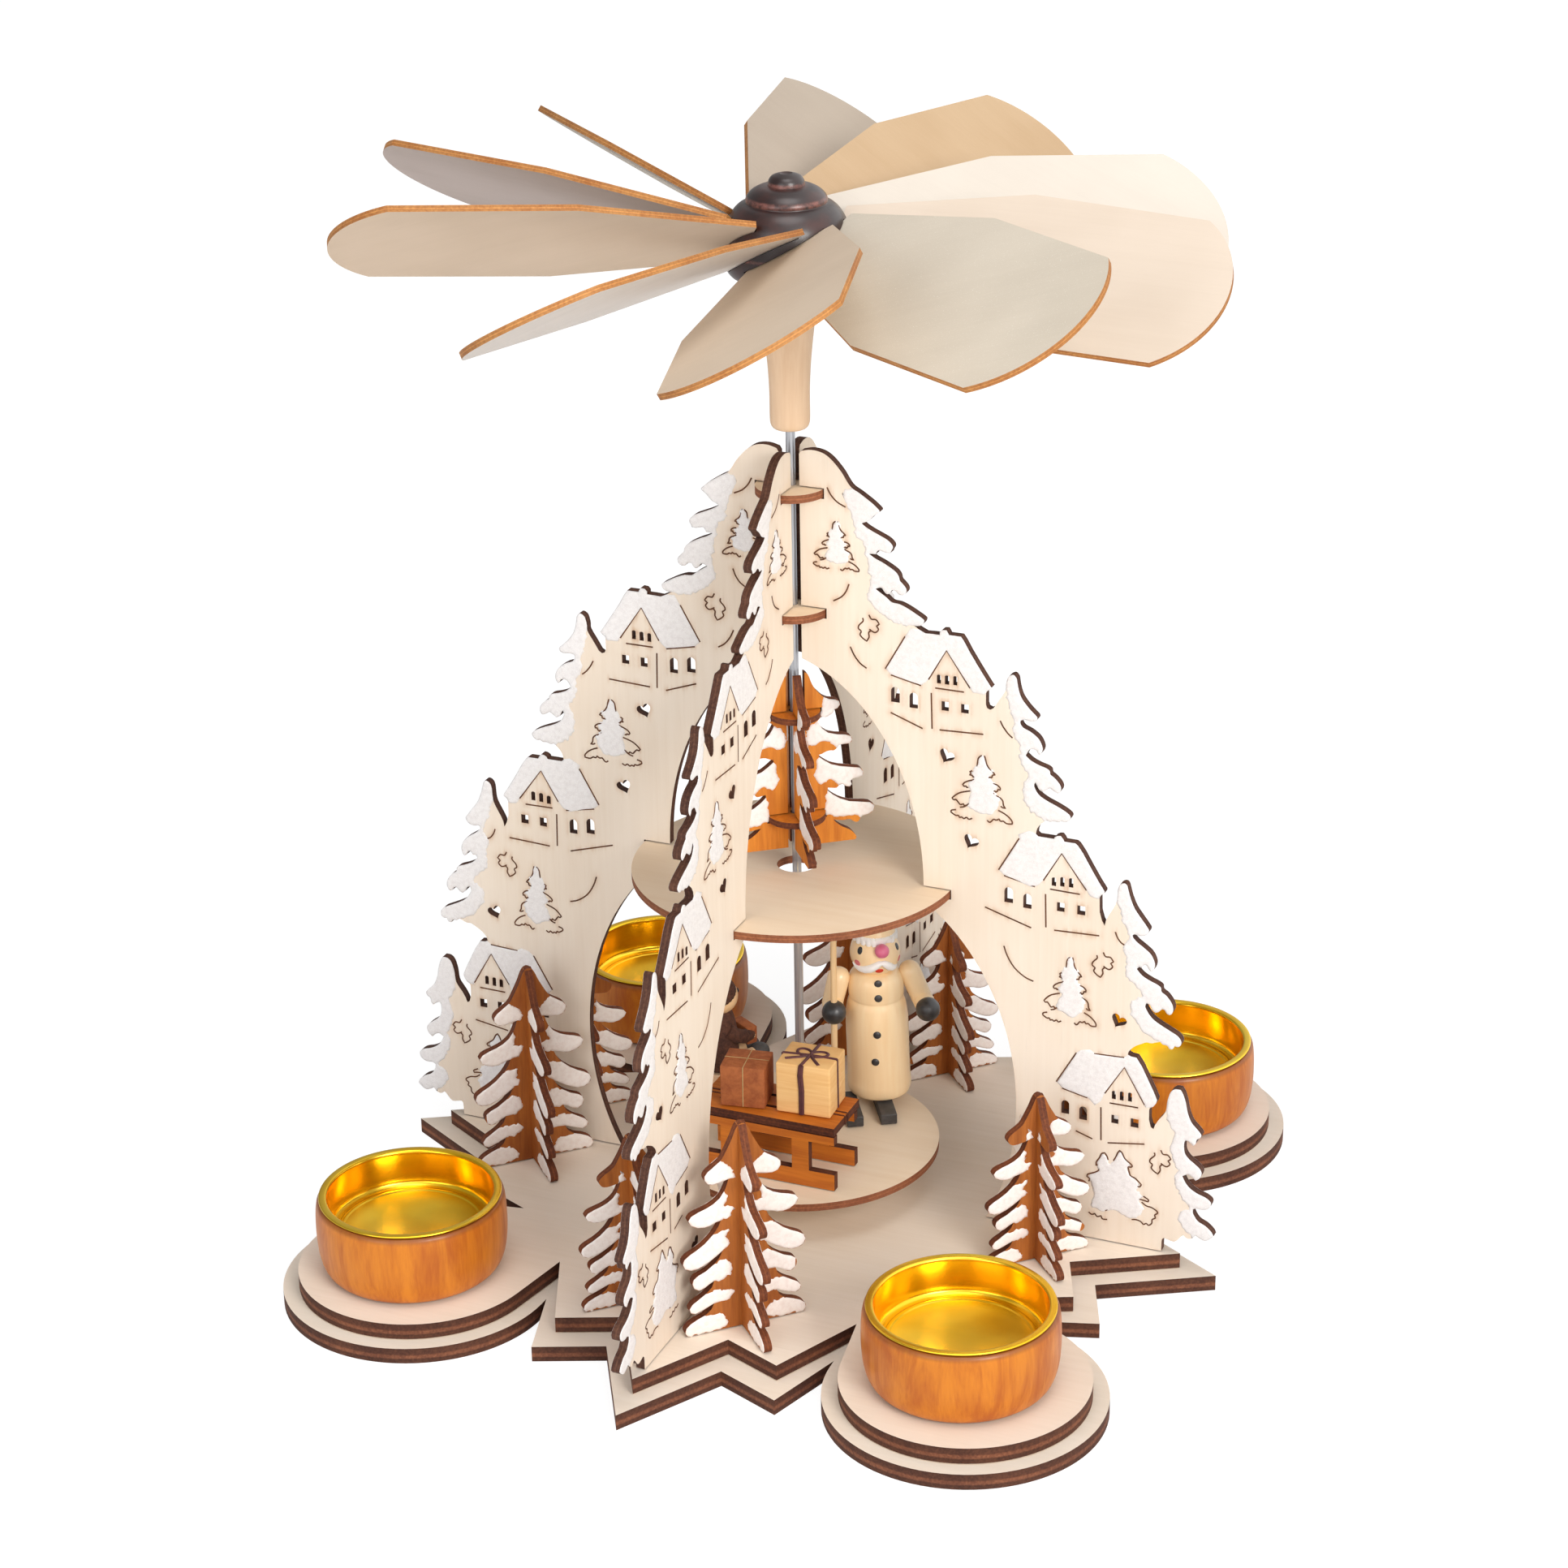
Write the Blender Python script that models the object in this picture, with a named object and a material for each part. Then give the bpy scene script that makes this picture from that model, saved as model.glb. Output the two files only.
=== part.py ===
# Candle carousel: a star base with four tea-light cups, four village silhouettes and a
# fan-driven rotor that carries a turntable of figures and a small hanging tree.
# Metres, +Z up. The origin is on the shaft's axis, at the underside of the base.
import math

import bmesh
import bpy
from mathutils import Matrix, Vector

for old_object in list(bpy.data.objects):
    bpy.data.objects.remove(old_object, do_unlink=True)

# Gaps between pieces
seat_gap = 0.0003
slot_gap = 0.0002
running_gap = 0.0001
cut_overrun = 0.002

# Base: two star plates with a round lobe between each pair of points
plate_thickness = 0.004
star_reach = 0.1095
star_step = 0.0092
lobe_distance = 0.1006
lobe_radius = 0.0334
lobe_step = 0.0039
base_top = plate_thickness * 2 + seat_gap
base_seat = base_top + seat_gap

# Fixed platform and the two guide rings
platform_radius = 0.0404
platform_thickness = 0.0020
platform_height = 0.0877
platform_top = base_seat + platform_height
platform_hole_radius = 0.0049
ring_thickness = 0.0020
lower_ring_radius = 0.0088
lower_ring_height = 0.0679
lower_ring_top = platform_top + lower_ring_height
upper_ring_radius = 0.0085
ring_spacing = 0.0298
upper_ring_top = lower_ring_top + ring_spacing

# Wings: the four upright village silhouettes, each with an arch under and over the platform
wing_thickness = 0.0022
wing_width = 0.1092
wing_inner_reach = 0.0026
crown_height = 0.0103
wing_top = upper_ring_top + crown_height
wing_rise = wing_top - base_seat
lower_arch_centre = 0.0128
upper_arch_centre = -0.0070
upper_arch_half_width = 0.0406

# Windows and hearts cut into the wings
square_window_width = 0.0019
square_window_height = 0.0025
arched_window_width = 0.0022
arched_window_height = 0.0041
slit_width = 0.0010
slit_height = 0.0027
heart_size = 0.0030

# Tea-light cups and their brass inserts
cup_lip_radius = 0.0225
cup_foot_step = 0.0029
cup_foot_radius = cup_lip_radius - cup_foot_step
cup_belly_swell = 0.0006
cup_belly_radius = cup_lip_radius + cup_belly_swell
cup_height = 0.0188
cup_wall_thickness = 0.0017
cup_bore_radius = cup_lip_radius - cup_wall_thickness
cup_floor_thickness = 0.0093
insert_rim_step = 0.0004
insert_rim_radius = cup_lip_radius - insert_rim_step
insert_wall_radius = cup_bore_radius - seat_gap
insert_sheet = 0.0005
# Each cup is glued a little off its lobe's centre.
cup_offsets = ((-0.0009, -0.0004), (-0.0009, -0.0012), (0.0, 0.0), (0.0020, 0.0004))

# Shaft and bearing
shaft_radius = 0.0011
shaft_point_length = 0.0022
shaft_clearance = 0.0003
bearing_radius = 0.0040
bearing_height = 0.0030
bearing_dimple_radius = 0.0020
bearing_dimple_depth = 0.0018

# Turntable
turntable_radius = 0.0348
turntable_thickness = 0.0020
turntable_top = 0.0209

# Hub and sleeve, above the wings on the shaft
sleeve_clearance = 0.0035
sleeve_foot = wing_top + sleeve_clearance
sleeve_height = 0.0355
sleeve_top = sleeve_foot + sleeve_height
sleeve_foot_radius = 0.0046
sleeve_waist_radius = 0.0062
hub_foot = sleeve_top + seat_gap
hub_height = 0.0244
hub_top = hub_foot + hub_height
hub_disc_radius = 0.0145
hub_dome_radius = 0.0099
hub_knob_radius = 0.0044
shaft_grip = 0.0101
shaft_top = hub_foot + shaft_grip

# Fan
blade_count = 10
blade_thickness = 0.0015
blade_lift = 0.0079
blade_centre_height = hub_foot + blade_lift
blade_root_reach = 0.0098
blade_kink_reach = 0.0518
blade_corner_reach = 0.0934
blade_tip_reach = 0.1044
blade_root_half_width = 0.0108
blade_kink_half_width = 0.0221
blade_corner_half_width = 0.0216
blade_offset = 0.0026
blade_pitch = 32.4
blade_cone = 1.0
first_blade_angle = -1.7
# Each blade sits in its slot a little turned, in degrees: around the shaft, about its own
# length and up or down, as glued by hand.
blade_swings = (0.6, -0.7, 0.2, -5.0, -2.0, -3.5, 0.8, 6.4, 0.7, 3.5)
blade_twists = (-1.1, 1.8, 4.4, 0.5, 1.7, 0.4, 1.5, -3.4, -3.6, -2.4)
blade_droops = (-3.2, -3.1, -1.1, 0.9, -0.2, 2.2, 2.7, 1.0, 0.2, 0.1)

# Centre tree, hanging on the shaft between the platform and the top of the upper arch
tree_foot_clearance = 0.0051
tree_foot = platform_top + tree_foot_clearance
tree_top_clearance = 0.0043
tree_reach = 0.0199
tree_panel_thickness = 0.0020
tree_inner_reach = 0.0023
tree_turn = 38.0
tree_disc_thickness = 0.0016
tree_upper_disc_radius = 0.0062
tree_lower_disc_radius = 0.0072

# Small crossed firs beside the wings
fir_thickness = 0.0020
tall_fir_rise = 0.0540
tall_fir_reach = 0.0158
short_fir_rise = 0.0447
short_fir_reach = 0.0138
fir_distance = 0.0682
fir_clearance = 0.0012
fir_turn = 45.0

# Gift-bringer, a turned figure
man_x = 0.0105
man_y = 0.0245
man_turn = -59.0
man_rise = 0.0310
man_hem_radius = 0.0079
man_waist_radius = 0.0062
man_head_radius = 0.0061
man_hat_rise = 0.0100
man_arm_radius = 0.0026
man_hand_radius = 0.0030
man_hand_side = 0.0114
man_hand_forward = 0.0052
man_hand_height = 0.0252
man_elbow_side = 0.0100
man_shoulder_side = 0.0083
man_shoulder_height = 0.0355
boot_width = 0.0042
boot_height = 0.0028
boot_front = 0.0142
boot_back = 0.0
boot_side = 0.0043
boot_shift = -0.0032
staff_radius = 0.0008
staff_rise = 0.0560

# Sled and gifts
sled_x = 0.0003
sled_y = -0.0160
sled_turn = 0.5
sled_length = 0.0370
sled_height = 0.0172
sled_width = 0.0166
sled_frame_spacing = 0.0133
sled_deck_shift = 0.0006
sled_frame_thickness = 0.0021
sled_runner_height = 0.0044
sled_leg_width = 0.0045
sled_rail_height = 0.0022
sled_deck_thickness = 0.0022
sled_slot_width = 0.0011
natural_gift_size = (0.0140, 0.0120, 0.0135)
natural_gift_place = (0.0089, -0.0141)
natural_gift_turn = 4.0
brown_gift_size = (0.0112, 0.0100, 0.0109)
brown_gift_place = (-0.0070, -0.0169)
brown_gift_turn = 10.0

# Seated child and the log it sits on
child_x = -0.0262
child_y = 0.0095
child_turn = 58.0
seat_radius = 0.0050
seat_height = 0.0095
child_body_radius = 0.0048
child_body_rise = 0.0165
child_head_radius = 0.0048
child_limb_radius = 0.0018
child_leg_reach = 0.0105
child_leg_side = 0.0023
child_boot_radius = 0.0025
child_parcel_size = (0.0030, 0.0072, 0.0046)
child_parcel_reach = 0.0075

# Facets round a full circle, large pieces first
plate_sides = 56
ring_sides = 32
cup_sides = 26
small_sides = 16
rod_sides = 12
arch_steps = 8
lobe_steps = 14
blade_tip_steps = 7

# Outline shares. A wing's are of its reach and rise, each branch as its tip and the notch under it.
crown_top_shares = ((0.027, 1.0), (0.060, 0.999), (0.090, 0.990), (0.115, 0.977), (0.139, 0.961))
crown_branch_shares = (
    ((0.211, 0.933), (0.158, 0.919)),
    ((0.242, 0.892), (0.174, 0.880)),
    ((0.270, 0.834), (0.189, 0.836)),
    ((0.311, 0.800), (0.278, 0.791)),
)
# Each house: its ridge's inner and outer ends and its eave as shares of the reach, then the
# ridge as a share of the rise.
house_place_shares = ((0.307, 0.394, 0.462, 0.788), (0.567, 0.662, 0.730, 0.545),
                      (0.790, 0.813, 0.860, 0.270))
wing_fir_top_shares = (
    ((0.460, 0.699), (0.487, 0.722), (0.499, 0.743), (0.513, 0.748), (0.526, 0.740), (0.534, 0.716)),
    ((0.726, 0.439), (0.749, 0.465), (0.760, 0.492), (0.773, 0.500), (0.786, 0.492), (0.797, 0.464)),
    ((0.852, 0.168), (0.879, 0.201), (0.894, 0.229), (0.908, 0.237), (0.920, 0.229), (0.932, 0.201)),
)
wing_fir_branch_shares = (
    (
        ((0.570, 0.695), (0.527, 0.686)),
        ((0.583, 0.652), (0.534, 0.647)),
        ((0.626, 0.605), (0.560, 0.611)),
        ((0.650, 0.570), (0.577, 0.563)),
    ),
    (
        ((0.832, 0.441), (0.789, 0.433)),
        ((0.848, 0.392), (0.799, 0.389)),
        ((0.894, 0.338), (0.821, 0.351)),
        ((0.918, 0.300), (0.820, 0.279)),
    ),
    (
        ((0.964, 0.178), (0.926, 0.165)),
        ((0.972, 0.124), (0.919, 0.117)),
        ((0.991, 0.083), (0.945, 0.069)),
        ((1.000, 0.042), (0.925, 0.027)),
    ),
)
foot_outer_share = 0.881
# The arches: the lower one's half width of the wing's width, then heights as shares of the
# height that each arch spans.
lower_arch_width_share = 0.4121
lower_arch_centre_share = 0.380
lower_arch_half_height_share = 0.680
upper_arch_apex_share = 0.8295
house_width_share = 0.2473
house_height_share = 0.1252
house_width = wing_width * house_width_share
house_height = wing_rise * house_height_share
heart_shares = ((0.361, 0.630), (0.418, 0.519), (0.766, 0.314), (0.610, 0.090))
# A house's other shares are of its width and height, from the outer end of its ridge.
chimney_shares = ((-0.185, 0.0), (-0.185, 0.05), (-0.12, 0.05), (-0.12, 0.0))
eave_drop_share = -0.49
under_eave_share = -0.048
under_eave_drop_share = -0.53
square_window_shares = ((-0.14, -0.74), (0.045, -0.74))
arched_window_shares = ((-0.615, -0.69), (-0.445, -0.72))
slit_shares = ((-0.20, -0.465), (-0.125, -0.465), (-0.05, -0.465))
arch_spring_share = 0.72
# A branch tip is rounded back and down by these shares of the branch's own length.
tip_back_share = 0.05
tip_drop_share = 0.14
# Small firs, of reach and rise, counted down from the top.
fir_branch_shares = (
    ((0.65, 0.22), (0.30, 0.265)),
    ((0.89, 0.41), (0.38, 0.45)),
    ((1.00, 0.61), (0.40, 0.605)),
    ((0.85, 0.735), (0.46, 0.735)),
    ((0.90, 0.84), (0.48, 0.84)),
    ((0.98, 0.955), (0.50, 0.998)),
)
fir_top_share = 0.11
# Centre tree panel, of reach and rise, counted up from the foot, then its two discs.
tree_lower_disc_share = 0.196
tree_upper_disc_share = 0.784
tree_profile_shares = ((0.76, 0.0), (0.51, 0.11), (1.0, 0.13), (0.97, 0.185), (0.50, 0.24), (0.41, 0.285),
                       (0.865, 0.345), (0.83, 0.40), (0.42, 0.44), (0.31, 0.49), (0.725, 0.555),
                       (0.69, 0.60), (0.40, 0.64), (0.33, 0.70), (0.575, 0.775), (0.52, 0.81),
                       (0.30, 0.84), (0.24, 0.95), (0.15, 1.0))
# Star plate, of its reach and in degrees from a point.
star_valley_share = 0.775
star_valley_turn = 10.1
star_side_share = 0.873
star_side_turn = 19.1
# The neck where it meets a lobe, of the lobe's radius and in degrees from the inward diagonal.
lower_neck_share = 1.003
lower_neck_turn = 42.4
upper_neck_share = 1.161
upper_neck_turn = 24.3
# Turned profiles, as shares of the piece's own radii and rise.
cup_profile_shares = (("foot", 1.0, 0.0), ("belly", 0.93, 0.10), ("belly", 0.98, 0.28),
                      ("belly", 1.0, 0.55), ("belly", 0.995, 0.85), ("lip", 1.0, 1.0))
hub_profile_shares = (
    ("disc", 0.42, 0.0), ("disc", 0.80, 0.02), ("disc", 0.97, 0.10), ("disc", 1.0, 0.30),
    ("disc", 0.97, 0.52), ("disc", 0.86, 0.62), ("dome", 1.0, 0.665), ("dome", 0.98, 0.73),
    ("dome", 0.78, 0.81), ("knob", 1.05, 0.85), ("knob", 1.0, 0.90), ("knob", 0.72, 0.975),
)
sleeve_profile_shares = (("foot", 0.72, 0.0), ("foot", 0.97, 0.03), ("foot", 1.02, 0.25),
                         ("waist", 0.90, 0.55), ("waist", 1.0, 0.78), ("waist", 1.0, 1.0))
elbow_share = 1.06
child_neck_share = 0.75
child_parcel_share = 0.48
child_shoulder_share = 0.75
man_profile_shares = (("hem", 0.88, 0.0), ("hem", 0.98, 0.05), ("hem", 1.0, 0.20), ("hem", 0.97, 0.45),
                      ("waist", 1.0, 0.68), ("waist", 1.06, 0.80), ("waist", 1.0, 0.93),
                      ("waist", 0.86, 0.985))
head_cap_shares = ((0.98, 0.32), (0.82, 0.62), (0.46, 0.86))
child_body_shares = ((0.9, 0.0), (1.0, 0.2), (0.85, 0.7), (0.55, 1.0))
heart_outline_shares = ((0.0, -1.0), (1.0, 0.1), (0.6, 0.9), (0.0, 0.45), (-0.6, 0.9), (-1.0, 0.1))
sled_leg_share = 1.5
sled_slot_share = 0.1667


def material(name, colour, roughness, metallic=0.0):
    made = bpy.data.materials.new(name)
    made.use_nodes = True
    shader = made.node_tree.nodes["Principled BSDF"]
    shader.inputs["Base Color"].default_value = (*colour, 1.0)
    shader.inputs["Roughness"].default_value = roughness
    shader.inputs["Metallic"].default_value = metallic
    made.diffuse_color = (*colour, 1.0)
    return made


birch = material("birch_plywood", (0.86, 0.76, 0.62), 0.6)
base_birch = material("base_birch", (0.78, 0.70, 0.61), 0.6)
blade_birch = material("blade_birch", (0.82, 0.70, 0.52), 0.55)
fir_stain = material("fir_stain", (0.50, 0.16, 0.03), 0.6)
tree_stain = material("tree_stain", (0.72, 0.25, 0.03), 0.6)
cup_stain = material("cup_stain", (0.55, 0.21, 0.05), 0.4)
dark_stain = material("dark_stain", (0.04, 0.015, 0.012), 0.35)
natural_wood = material("natural_wood", (0.80, 0.55, 0.30), 0.4)
gift_brown_stain = material("gift_brown_stain", (0.28, 0.09, 0.04), 0.6)
black_paint = material("black_paint", (0.02, 0.02, 0.02), 0.4)
brass = material("brass", (0.83, 0.60, 0.10), 0.25, 1.0)
steel = material("steel", (0.56, 0.57, 0.60), 0.3, 1.0)


def empty(name):
    made = bpy.data.objects.new(name, None)
    bpy.context.scene.collection.objects.link(made)
    return made


def place(name, bm, colour, parent=None, smooth_angle=None):
    bmesh.ops.recalc_face_normals(bm, faces=bm.faces)
    mesh = bpy.data.meshes.new(name)
    bm.to_mesh(mesh)
    bm.free()
    if smooth_angle is not None:
        mesh.shade_smooth()
        mesh.set_sharp_from_angle(angle=math.radians(smooth_angle))
    mesh.materials.append(colour)
    return place_mesh(name, mesh, parent)


def place_mesh(name, mesh, parent=None):
    made = bpy.data.objects.new(name, mesh)
    bpy.context.scene.collection.objects.link(made)
    made.parent = parent
    return made


def polar(reach, degrees):
    turn = math.radians(degrees)
    return Vector((reach * math.cos(turn), reach * math.sin(turn)))


def circle(radius, sides, centre=(0.0, 0.0)):
    return [Vector(centre) + polar(radius, 360.0 * side / sides) for side in range(sides)]


def sheet(outline, holes, thickness):
    # A flat drawing in X and Y, cut from a sheet that is centred on Z.
    bm = bmesh.new()
    edges = []
    for loop in [outline, *holes]:
        corners = [bm.verts.new((x, y, -thickness / 2)) for x, y in loop]
        for index, corner in enumerate(corners):
            edges.append(bm.edges.new((corner, corners[(index + 1) % len(corners)])))
    bmesh.ops.triangle_fill(bm, use_beauty=True, use_dissolve=False, edges=edges)
    raised = bmesh.ops.extrude_face_region(bm, geom=bm.faces[:])["geom"]
    tops = [item for item in raised if isinstance(item, bmesh.types.BMVert)]
    bmesh.ops.translate(bm, vec=(0.0, 0.0, thickness), verts=tops)
    return bm


def upright(bm):
    bm.transform(Matrix.Rotation(math.radians(90.0), 4, "X"))
    return bm


def turned(profile, sides, closed=False):
    # Points (radius, height) turned about Z. An open profile starts and ends on the axis.
    bm = bmesh.new()
    points = [bm.verts.new((radius, 0.0, height)) for radius, height in profile]
    pairs = list(zip(points, points[1:]))
    if closed:
        pairs.append((points[-1], points[0]))
    edges = [bm.edges.new(pair) for pair in pairs]
    bmesh.ops.spin(bm, geom=points + edges, cent=(0, 0, 0), axis=(0, 0, 1),
                   angle=math.tau, steps=sides, use_merge=True)
    bmesh.ops.remove_doubles(bm, verts=bm.verts, dist=slot_gap / 10)
    return bm


def disc_with_hole(radius, hole_radius, thickness, top, sides):
    bm = sheet(circle(radius, sides), [circle(hole_radius, small_sides)], thickness)
    bmesh.ops.translate(bm, vec=(0.0, 0.0, top - thickness / 2), verts=bm.verts)
    return bm


def joined(keeper, cutter, operation):
    # Bakes a Boolean into the first object and removes the second one.
    boolean = keeper.modifiers.new(operation.lower(), "BOOLEAN")
    boolean.operation = operation
    boolean.solver = "EXACT"
    boolean.object = cutter
    bpy.context.view_layer.update()
    depsgraph = bpy.context.evaluated_depsgraph_get()
    baked = bpy.data.meshes.new_from_object(keeper.evaluated_get(depsgraph))
    keeper.modifiers.remove(boolean)
    keeper.data = baked
    bpy.data.objects.remove(cutter, do_unlink=True)


def star_plate(reach, lobe, neck_share, neck_turn):
    # One quarter runs from a star point round the next lobe, and is turned four times.
    centre = polar(lobe_distance, 45.0)
    inward = 225.0
    tangent = math.degrees(math.acos(1.0 / neck_share))
    start = inward + neck_turn + tangent - 360.0
    quarter = [polar(reach, 0.0), polar(reach * star_valley_share, star_valley_turn),
               polar(reach * star_side_share, star_side_turn),
               centre + polar(lobe * neck_share, inward + neck_turn)]
    for step in range(lobe_steps + 1):
        turn = start + (90.0 - 2.0 * start) * step / lobe_steps
        quarter.append(centre + polar(lobe, turn))
    quarter += [centre + polar(lobe * neck_share, inward - neck_turn),
                polar(reach * star_side_share, 90.0 - star_side_turn),
                polar(reach * star_valley_share, 90.0 - star_valley_turn)]
    outline = []
    for quarter_turn in range(4):
        rotation = Matrix.Rotation(math.radians(90.0 * quarter_turn), 2)
        outline += [rotation @ point for point in quarter]
    return outline


def branch(tip, notch):
    # The upper edge runs out to the tip, the tip is rounded, and the notch lies under it.
    length = tip[0] - notch[0]
    return [tip, (tip[0] - length * tip_back_share, tip[1] - length * tip_drop_share), notch]


def roof(ridge_inner, ridge_outer, eave_reach):
    # The snowed roof's outline from the ridge's inner end to the wall under the eave.
    chimney = [(ridge_outer[0] + house_width * x, ridge_outer[1] + house_height * z)
               for x, z in chimney_shares]
    if chimney[0][0] < ridge_inner[0]:
        chimney = []
    eave = (eave_reach, ridge_outer[1] + house_height * eave_drop_share)
    under_eave = (eave_reach + house_width * under_eave_share,
                  ridge_outer[1] + house_height * under_eave_drop_share)
    return [ridge_inner, *chimney, ridge_outer, eave, under_eave]


def ellipse(centre, half_width, half_height, height):
    return centre[0] + half_width * math.sqrt(max(0.0, 1.0 - ((height - centre[1]) / half_height) ** 2))


def arch_points(centre, half_width, half_height, low, high):
    points = []
    for step in range(arch_steps + 1):
        height = low + (high - low) * step / arch_steps
        points.append((ellipse(centre, half_width, half_height, height), height))
    return points


def upper_arch_apex():
    notch_high = platform_top + seat_gap
    return notch_high + (lower_ring_top - ring_thickness - notch_high) * upper_arch_apex_share


def on_wing(reach_share, rise_share):
    return (wing_width * reach_share, base_seat + wing_rise * rise_share)


def wing_outline():
    notch_low = platform_top - platform_thickness - seat_gap
    notch_high = platform_top + seat_gap
    notch_reach = platform_radius + seat_gap
    span = notch_low - base_seat
    lower_centre = (lower_arch_centre, base_seat + span * lower_arch_centre_share)
    points = arch_points(lower_centre, wing_width * lower_arch_width_share,
                         span * lower_arch_half_height_share, base_seat, notch_low)
    points += [(notch_reach, notch_low), (notch_reach, notch_high)]
    sweep = math.acos((wing_inner_reach - upper_arch_centre) / upper_arch_half_width)
    for step in range(arch_steps + 1):
        swing = sweep * step / arch_steps
        points.append((upper_arch_centre + upper_arch_half_width * math.cos(swing),
                       notch_high + (upper_arch_apex() - notch_high) * math.sin(swing) / math.sin(sweep)))
    for radius, top in ((lower_ring_radius, lower_ring_top), (upper_ring_radius, upper_ring_top)):
        low = top - ring_thickness - seat_gap
        high = top + seat_gap
        points += [(wing_inner_reach, low), (radius + seat_gap, low),
                   (radius + seat_gap, high), (wing_inner_reach, high)]
    points += [on_wing(*shares) for shares in crown_top_shares]
    for tip, notch in crown_branch_shares:
        points += branch(on_wing(*tip), on_wing(*notch))
    for house, top, branches in zip(house_place_shares, wing_fir_top_shares, wing_fir_branch_shares):
        inner, outer, eave, ridge = house
        points += roof(on_wing(inner, ridge), on_wing(outer, ridge), wing_width * eave)
        points += [on_wing(*shares) for shares in top]
        for tip, notch in branches:
            points += branch(on_wing(*tip), on_wing(*notch))
    lowest_notch = wing_fir_branch_shares[-1][-1][1]
    points += [on_wing(foot_outer_share, lowest_notch[1]), on_wing(foot_outer_share, 0.0)]
    return points


def window(centre, width, height, arched=False):
    left = centre[0] - width / 2
    right = centre[0] + width / 2
    low = centre[1] - height / 2
    high = centre[1] + height / 2
    if not arched:
        return [(left, low), (right, low), (right, high), (left, high)]
    spring = low + height * arch_spring_share
    return [(left, low), (right, low), (right, spring), (centre[0], high), (left, spring)]


def heart(centre):
    half = heart_size / 2
    return [(centre[0] + half * x, centre[1] + half * z) for x, z in heart_outline_shares]


def wing_holes():
    holes = []
    for _, reach_share, _, rise_share in house_place_shares:
        ridge = on_wing(reach_share, rise_share)

        def on_house(shares):
            return (ridge[0] + house_width * shares[0], ridge[1] + house_height * shares[1])

        holes += [window(on_house(shares), square_window_width, square_window_height)
                  for shares in square_window_shares]
        holes += [window(on_house(shares), arched_window_width, arched_window_height, True)
                  for shares in arched_window_shares]
        holes += [window(on_house(shares), slit_width, slit_height) for shares in slit_shares]
    holes += [heart(on_wing(*shares)) for shares in heart_shares]
    return holes


def make_base():
    lower = sheet(star_plate(star_reach, lobe_radius, lower_neck_share, lower_neck_turn), [],
                  plate_thickness)
    bmesh.ops.translate(lower, vec=(0.0, 0.0, plate_thickness / 2), verts=lower.verts)
    place("base_lower_plate", lower, base_birch)
    upper = sheet(star_plate(star_reach - star_step, lobe_radius - lobe_step, upper_neck_share,
                             upper_neck_turn), [], plate_thickness)
    bmesh.ops.translate(upper, vec=(0.0, 0.0, base_top - plate_thickness / 2), verts=upper.verts)
    place("base_upper_plate", upper, base_birch)


def make_wings():
    first = place("wing_right", upright(sheet(wing_outline(), wing_holes(), wing_thickness)), birch)
    for name, turn in (("wing_back", 90.0), ("wing_left", 180.0), ("wing_front", -90.0)):
        wing = place_mesh(name, first.data)
        wing.rotation_euler.z = math.radians(turn)


def make_fixed_discs():
    shaft_hole = shaft_radius + running_gap
    place("mid_platform", disc_with_hole(platform_radius, platform_hole_radius, platform_thickness,
                                         platform_top, plate_sides), birch)
    place("upper_ring", disc_with_hole(upper_ring_radius, shaft_hole, ring_thickness,
                                       upper_ring_top, ring_sides), birch)
    place("lower_ring", disc_with_hole(lower_ring_radius, shaft_hole, ring_thickness,
                                       lower_ring_top, ring_sides), birch)


def cup_profile():
    foot = base_seat
    top = foot + cup_height
    radii = {"foot": cup_foot_radius, "belly": cup_belly_radius, "lip": cup_lip_radius}
    outside = [(radii[part] * share, foot + cup_height * rise) for part, share, rise in cup_profile_shares]
    floor = foot + cup_floor_thickness
    return [(0.0, foot), *outside, (cup_bore_radius, top), (cup_bore_radius, floor), (0.0, floor)]


def insert_profile():
    lip_low = base_seat + cup_height + seat_gap
    lip_high = lip_low + insert_sheet
    floor_low = base_seat + cup_floor_thickness + seat_gap
    floor_high = floor_low + insert_sheet
    inner = insert_wall_radius - insert_sheet
    return [(0.0, floor_low), (insert_wall_radius, floor_low), (insert_wall_radius, lip_low),
            (insert_rim_radius, lip_low), (insert_rim_radius, lip_high), (inner, lip_high),
            (inner, floor_high), (0.0, floor_high)]


def make_cups():
    first_cup = None
    first_insert = None
    for number, offset in enumerate(cup_offsets, 1):
        centre = polar(lobe_distance, 45.0 - 90.0 * number) + Vector(offset)
        if first_cup is None:
            first_cup = place("cup_1", turned(cup_profile(), cup_sides), cup_stain, smooth_angle=30.0)
            first_insert = place("insert_1", turned(insert_profile(), cup_sides), brass, smooth_angle=30.0)
            cup, insert = first_cup, first_insert
        else:
            cup = place_mesh(f"cup_{number}", first_cup.data)
            insert = place_mesh(f"insert_{number}", first_insert.data)
        cup.location.xy = centre
        insert.location.xy = centre


def fir_outline(reach, rise):
    def on_fir(reach_share, drop_share):
        return (reach * reach_share, base_seat + rise * (1.0 - drop_share))

    right = [on_fir(fir_top_share, 0.0)]
    for tip, notch in fir_branch_shares:
        right += [on_fir(*tip), on_fir(*notch)]
    left = [(-x, z) for x, z in reversed(right)]
    return right + left


def crossed_fir(name, reach, rise):
    across = place(name, upright(sheet(fir_outline(reach, rise), [], fir_thickness)), fir_stain)
    along = place(name + "_along", upright(sheet(fir_outline(reach, rise), [], fir_thickness)), fir_stain)
    along.rotation_euler.z = math.radians(90.0)
    joined(across, along, "UNION")
    return across


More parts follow.
